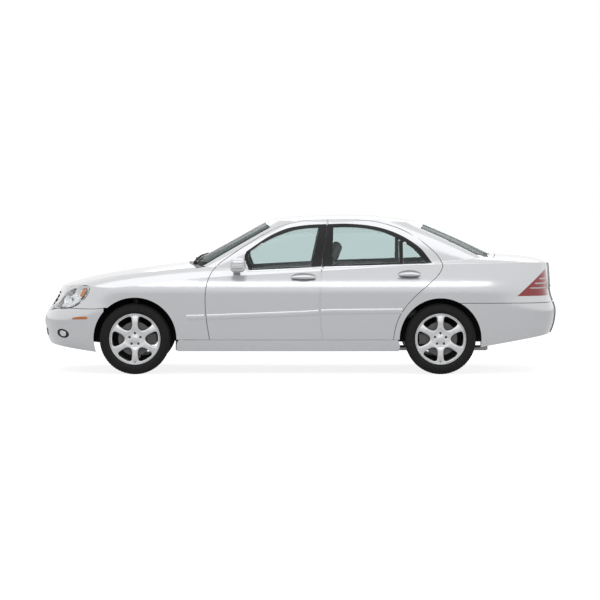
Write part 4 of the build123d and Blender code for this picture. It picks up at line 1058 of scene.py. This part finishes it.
def make_plate(name, end, z):
    """A blank plate that follows its bumper, in a thin bright frame."""
    skin = Skin(name)
    rows = []
    for k in range(13):
        y = PLATE_HALF * (k - 6) / 6
        row = [skin.along_x(y, z + PLATE_TALL * (j - 4) / 4, end, 0.003) for j in range(9)]
        rows.append(row + [skin.along_x(y, z + a, end, -0.002) for a in (PLATE_TALL, -PLATE_TALL)])
    piece(name + "_plate", [solid(rows)], "body", PLATE, "bright_trim", 30)
    line = []
    for (y0, a0), (y1, a1) in zip(PLATE_RIM, PLATE_RIM[1:]):
        for k in range(6):
            line.append(skin.along_x(y0 + (y1 - y0) * k / 6, z + a0 + (a1 - a0) * k / 6, end, 0.002))
    tube(name + "_plate_frame", line + line[:1], 0.0032, "body", CHROME, "bright_trim", 8, 120)


def make_front():
    """The lower intake, the grille's bars, the intake's bars and the two plates."""
    bumper = Skin("front_bumper")

    def before(y, z, stand):
        return bumper.along_x(y, z, -1, stand)

    patch_on("lower_intake", INTAKE, 80, before, BLACK, "trim_black", INTAKE_RISES)
    make_grille_bars()
    for k, z in enumerate((0.366, 0.386, 0.406)):
        line = [before(-0.29 + 0.58 * i / 24, z, 0.0025) for i in range(25)]
        tube(f"intake_bar_{k + 1}", line, 0.0035, "body", DARK, "trim_black", 8)
    for name, end, z in PLATES:
        make_plate(name, end, z)


for side, sign in SIDES:
    make_headlamp(side, sign)
    make_tail(side, sign)
    make_markers(side, sign)
make_front()


# ---------------------------------------------------------------- wipers
WIPERS = (("left", (-1.030, -0.36), (-0.915, 0.245)), ("right", (-1.030, 0.27), (-0.955, 0.60)))
ARM_STANDS = ((0.0, 0.014), (0.08, 0.026), (0.35, 0.024), (0.62, 0.018))
BLADE_STATIONS = (0.12, 0.3, 0.5, 0.7, 0.85, 1.0)


def blade_taper(t):
    """A blade is full for most of its length and thins at both ends."""
    return 1.0 - 0.4 * abs(2 * t - 1) ** 4


def make_wipers():
    screen = Skin("windscreen", "cowl", "bonnet")
    for name, pivot, tip in WIPERS:
        a, b = Vector(pivot), Vector(tip)
        arm = [screen.top(*a.lerp(b, t), s) for t, s in ARM_STANDS]
        tube(f"wiper_arm_{name}", arm, 0.0075, "body", BLACK, "trim_black", 10, 30, lambda t: 1.15 - 0.5 * t)
        line = [screen.top(*a.lerp(b, t), 0.010) for t in BLADE_STATIONS]
        tube(f"wiper_blade_{name}", line, 0.0065, "body", SEAL, "trim_black", 8, 40, blade_taper)
        hub = [screen.top(*pivot, s) for s in (0.0, 0.012, 0.024, 0.032)]
        tube(f"wiper_hub_{name}", hub, 0.019, "body", BLACK, "trim_black", 20, 10, lambda t: 1 - 0.5 * t * t)


make_wipers()


# ---------------------------------------------------------------- the seats
PAD_STEPS = 28
CHANNEL_DEPTH = 0.010


def bump_at(value, centre, width):
    """A smooth hump of height 1 at the centre."""
    return exp(-(((value - centre) / width) ** 2))


def pad(name, size, place, lean, channels, cross, bolster, crown):
    """A stuffed pad: a crowned front face with sewn channels and raised sides, and a plain back.

    size is across, along and through; lean turns it back about the car's cross axis, in degrees.
    """
    across, along, through = size
    turn = Matrix.Rotation(radians(lean), 3, "Y")

    def point(u, v, face):
        swell = ((1 - abs(u) ** 9) * (1 - abs(v) ** 9)) ** 0.42
        deep = through / 2 * swell
        if face > 0:
            for c in channels:
                deep -= CHANNEL_DEPTH * bump_at(u, c, 0.035) * min(1.0, 6 * (1 - abs(v)))
            for c in cross:
                deep -= CHANNEL_DEPTH * bump_at(v, c, 0.03) * min(1.0, 5 * (1 - abs(u)))
            deep += crown * (1 - u * u) * (1 - v * v) * swell
            deep += bolster * max(0.0, abs(u) - 0.62) / 0.38 * swell
        pull = 1 - 0.012 * (1 - v * v)
        tuck = 1 - 0.012 * (1 - u * u)
        return Vector(place) + turn @ Vector((-face * deep, u * across / 2 * pull, v * along / 2 * tuck))

    waves = [cos(pi * k / PAD_STEPS) for k in range(PAD_STEPS + 1)]
    grid = [max(-1.0, min(1.0, -c * (1.18 - 0.18 * c * c))) for c in waves]
    faces = [sheet([[point(u, v, face) for u in grid] for v in grid]) for face in (1, -1)]
    made = piece(name, faces, "body", LEATHER, "leather", 70)
    return made


def seat_shell(name, y):
    """The rails and side valances under a front seat."""
    rails = [block((0.46, 0.030, 0.020), (-0.11, y + a, 0.285)) for a in (-0.16, 0.16)]
    piece(name + "_rails", rails, "body", STEEL, "chassis_steel", 30, bevel=0.003)
    for k, side in enumerate((-1, 1)):
        rows = []
        for i in range(13):
            t = i / 12
            high = 0.445 + 0.045 * sin(pi * t)
            section = ((0, 0.345), (0.012, 0.352), (0.014, high - 0.01), (0, high))
            rows.append([Vector((-0.34 + 0.50 * t, y + side * (0.214 + b), z)) for b, z in section])
        piece(f"{name}_valance_{k + 1}", [solid(rows)], "body", DARK, "trim_black", 40)


def front_seat(side, sign):
    """Cushion, back and head rest on their posts, over the rails; the cushion is handed back."""
    y = sign * 0.380
    name = f"front_seat_{side}"
    seams = (-0.58, 0.58)
    size = (0.500, 0.535, 0.128)
    cushion = pad(name + "_cushion", size, (-0.122, y, 0.520), 94, seams, (0.32,), 0.020, 0.006)
    pad(name + "_back", (0.480, 0.600, 0.112), (0.222, y, 0.795), 20, seams, (-0.30, 0.38), 0.018, 0.006)
    pad(name + "_head_rest", (0.252, 0.156, 0.080), (0.356, y, 1.178), 20, (), (-0.35,), 0.0, 0.010)
    for k, across in enumerate((-0.045, 0.045)):
        post = [(x, y + across, z) for x, z in ((0.318, 1.062), (0.330, 1.094), (0.344, 1.130))]
        tube(f"{name}_post_{k + 1}", post, 0.006, "body", STEEL, "chassis_steel", 12, 12)
    seat_shell(name, y)
    return cushion


def rear_bench():
    """Three cushions, three backs and two head rests; the first cushion is handed back."""
    cushions = []
    seams = (-0.6, 0.6)
    for k, y in enumerate((-0.405, 0.0, 0.405)):
        size = (0.470 if y else 0.330, 0.500, 0.106)
        cushions.append(
            pad(f"bench_cushion_{k + 1}", size, (0.900, y, 0.585), 92, seams, (0.3,), 0.010, 0.006)
        )
    for k, y in enumerate((-0.385, 0.0, 0.385)):
        size = (0.430 if y else 0.330, 0.490, 0.104)
        pad(f"bench_back_{k + 1}", size, (1.222, y, 0.842), 12, seams, (-0.3, 0.36), 0.010, 0.006)
    for side, sign in SIDES:
        place = (1.277, sign * 0.350, 1.122)
        pad(f"rear_head_rest_{side}", (0.232, 0.122, 0.074), place, 12, (), (-0.3,), 0.0, 0.008)
    return cushions[0]


seats = [front_seat(side, sign) for side, sign in SIDES]
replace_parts(seats[0], "front_seats")
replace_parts(rear_bench(), "rear_seat")


# ---------------------------------------------------------------- linings, mats, mirrors and small fittings
# Linings stand this far off their surface, at their rims too.
SEAT_GAP = 0.0004
# The mirror's glass, its lamp strip and a dark strip of painted shade low on its shell, and the boot lid's
# grip.
MIRROR_RISES = ((1.0, 0.0), (0.985, 0.0022), (0.93, 0.0022), (0.92, 0.0012), (0.5, 0.0012), (0.02, 0.0012))
MIRROR_LAMP = [(-0.0085, 0.0), (-0.0075, 0.0016), (0.0, 0.0024), (0.0075, 0.0016), (0.0085, 0.0)]
MIRROR_SHADE_STRIP = [(-0.017, 0.0), (-0.016, 0.0010), (0.010, 0.0010), (0.011, 0.0)]
GRIP = ((-0.014, -0.001), (-0.012, 0.006), (0.0, 0.010), (0.012, 0.006), (0.014, -0.001))


def skin_slab(name, look, us, vs, lift, thick, body, material, slot):
    """A thin closed sheet over a grid of surface points, its rim turned down to the surface."""
    front, back = [], []
    for i, v in enumerate(vs):
        points = [look(u, v) for u in us]
        back.append([p + lift * SEAT_GAP for p in points])
        rise = [SEAT_GAP if i in (0, len(vs) - 1) or k in (0, len(us) - 1) else thick for k in range(len(us))]
        front.append([p + lift * r for p, r in zip(points, rise)])
    return piece(name, [sheet(front), sheet(back)], body, material, slot, 50)


def spread(a, b, count):
    """Even stations with a close pair at each end, for a crisp rim."""
    near = (b - a) * 0.006
    return [a, a + near] + [a + (b - a) * k / count for k in range(1, count)] + [b - near, b]


def door_trim(name, x0, x1, sign):
    """A carpeted lower panel, a hide upper panel with an arm rest, a pull and a wood strip."""
    skin = Skin(name)
    inward = Vector((0, -sign, 0))
    long = x1 - x0

    def wall(x, z):
        """The inner wall of the door."""
        return skin.hit((x, sign * 0.15, z), (0, sign, 0)) or skin.flank(x, z, sign, -0.05)

    def proud(x, z):
        """The face of the hide panel."""
        return wall(x, z) + inward * 0.0075

    def along(steps):
        return [wall(x, z) + inward * deep for x, z, deep in steps]

    lower, upper = spread(0.420, 0.600, 6), spread(0.606, 0.985, 12)
    xs = spread(x0, x1, 14)
    skin_slab(name + "_lower_trim", wall, xs, lower, inward, 0.005, name, CARPET, "interior_dark")
    skin_slab(name + "_upper_trim", wall, xs, upper, inward, 0.008, name, LEATHER, "leather")
    rest = ((0.18, 0.004), (0.24, 0.026), (0.5, 0.030), (0.76, 0.028), (0.84, 0.004))
    line = along([(x0 + long * t, 0.705 + 0.02 * t, d) for t, d in rest])
    tube(name + "_arm_rest", line, 0.024, name, LEATHER_DARK, "leather_dark", 16)
    at = x0 + long * 0.16
    pull = ((0.0, 0.84, 0.010), (0.02, 0.842, 0.024), (0.11, 0.845, 0.024), (0.13, 0.845, 0.010))
    line = along([(at + dx, z, d) for dx, z, d in pull])
    tube(name + "_pull", line, 0.007, name, CHROME, "bright_trim", 12, 24)
    xs, zs = spread(x0 + 0.03, x1 - 0.03, 12), spread(0.885, 0.925, 3)
    skin_slab(name + "_wood_strip", proud, xs, zs, inward, 0.003, name, WALNUT, "interior_dark")


def headliner():
    roof = Skin("roof_panel")

    def look(x, y):
        return roof.hit((x, y, 0.9), UP) or Vector((x, y, 1.40))

    xs, ys = spread(-0.20, 1.10, 22), spread(-0.45, 0.45, 14)
    skin_slab("headliner", look, xs, ys, -UP, 0.005, "body", LINING, "leather")


def mat(name, x0, x1, y0, y1, z):
    """A flat carpet on a floor whose top is at z."""

    def place(x, y):
        return Vector((x, y, z + SEAT_GAP))

    xs, ys = spread(x0, x1, 8), spread(y0, y1, 8)
    skin_slab(name, place, xs, ys, UP, 0.006, "body", CARPET, "interior_dark")


def make_mats():
    floor = Skin("floor_pan")
    for side, sign in SIDES:
        y0, y1 = sorted((sign * 0.19, sign * 0.60))
        for row, x0, x1 in (("front", -0.86, -0.44), ("rear", 0.44, 0.62)):
            mat(f"{row}_mat_{side}", x0, x1, y0, y1, floor.top((x0 + x1) / 2, sign * 0.40).z)
    deck = Skin("boot_floor").hit((1.9, 0.1, 1.0), -UP)
    mat("boot_carpet", 1.40, 2.28, -0.52, 0.52, deck.z)


def make_mirror(side, sign):
    """The glass in the mirror's back, a lamp strip along its shell, and a dark strip below it as painted
    shade on the shell's lower side.
    """
    name, door = f"mirror_{side}", f"front_door_{side}"
    skin = Skin(name)
    low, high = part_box(name)
    mid = (low + high) / 2
    y_mid = (high.y if sign > 0 else low.y) - sign * 0.100

    def back(y, z, stand):
        return (skin.hit((0.2, y, z), AHEAD) or Vector((high.x, y, z))) + BACK * stand

    ring = []
    for c, s in circle(40):
        a, b = copysign(0.072 * abs(c) ** 0.5, c), copysign(0.045 * abs(s) ** 0.6, s)
        ring.append(Vector((y_mid + a, 0, mid.z + b)))
    rows = rings_on(ring, back, MIRROR_RISES)
    piece(name + "_glass", [sheet(rows, across=True)], door, MIRROR, "bright_trim", 40)
    line = [(low.x + 0.022, mid.z - 0.004), (mid.x, mid.z - 0.001), (high.x - 0.028, mid.z + 0.002)]
    flank_strip(name + "_lamp", line, MIRROR_LAMP, sign, skin, door, LAMP_SILVER, "lamp_glass", 24)
    # The dark strip below the lamp is painted shade on the shell's lower side.
    line = [(x, z - 0.040) for x, z in line]
    flank_strip(name + "_lower_painted_shade", line, MIRROR_SHADE_STRIP, sign, skin, door, DARK, "trim_black", 24)


def make_boot_trim():
    """A bright grip strip over the plate, on the boot lid."""
    lid = Skin("boot_lid")
    stations = [-0.30 + 0.60 * k / 32 for k in range(33)]
    rows = [[lid.along_x(y, 0.842 + up, 1, stand) for up, stand in GRIP] for y in stations]
    piece("boot_grip", [solid(rows)], "boot_lid", CHROME, "bright_trim", 40)


def make_dash():
    """Vents, the centre panel, a wood strip and knobs on the dashboard."""
    dash = Skin("dashboard")

    def face(y, z):
        return dash.hit((0.3, y, z), AHEAD) or Vector((-0.62, y, z))

    def panel(name, ys, zs, thick, material, slot="trim_black"):
        skin_slab(name, face, spread(*ys), spread(*zs), BACK, thick, "body", material, slot)

    for k, y in enumerate((-0.62, -0.10, 0.10, 0.62)):
        panel(f"vent_frame_{k + 1}", (y - 0.055, y + 0.055, 6), (0.885, 0.935, 4), 0.006, BLACK)
        levels = (0.895, 0.905, 0.915, 0.925)
        slats = [block((0.004, 0.092, 0.003), face(y, z) + BACK * 0.0075) for z in levels]
        piece(f"vent_slats_{k + 1}", slats, "body", DARK, "trim_black", 30)
    panel("centre_panel", (-0.10, 0.10, 8), (0.730, 0.860, 6), 0.005, BLACK)
    panel("dash_wood", (0.19, 0.66, 14), (0.830, 0.866, 3), 0.004, WALNUT, "interior_dark")
    for k in range(6):
        knob = face(-0.075 + 0.030 * k, 0.760)
        line = [knob + BACK * out for out in (0.005, 0.011, 0.016)]
        tube(f"panel_knob_{k + 1}", line, 0.009, "body", CHROME, "bright_trim", 16, 6)


for side, sign in SIDES:
    door_trim(f"front_door_{side}", -0.78, 0.15, sign)
    door_trim(f"rear_door_{side}", 0.27, 0.88, sign)
    make_mirror(side, sign)
headliner()
make_mats()
make_boot_trim()
make_dash()
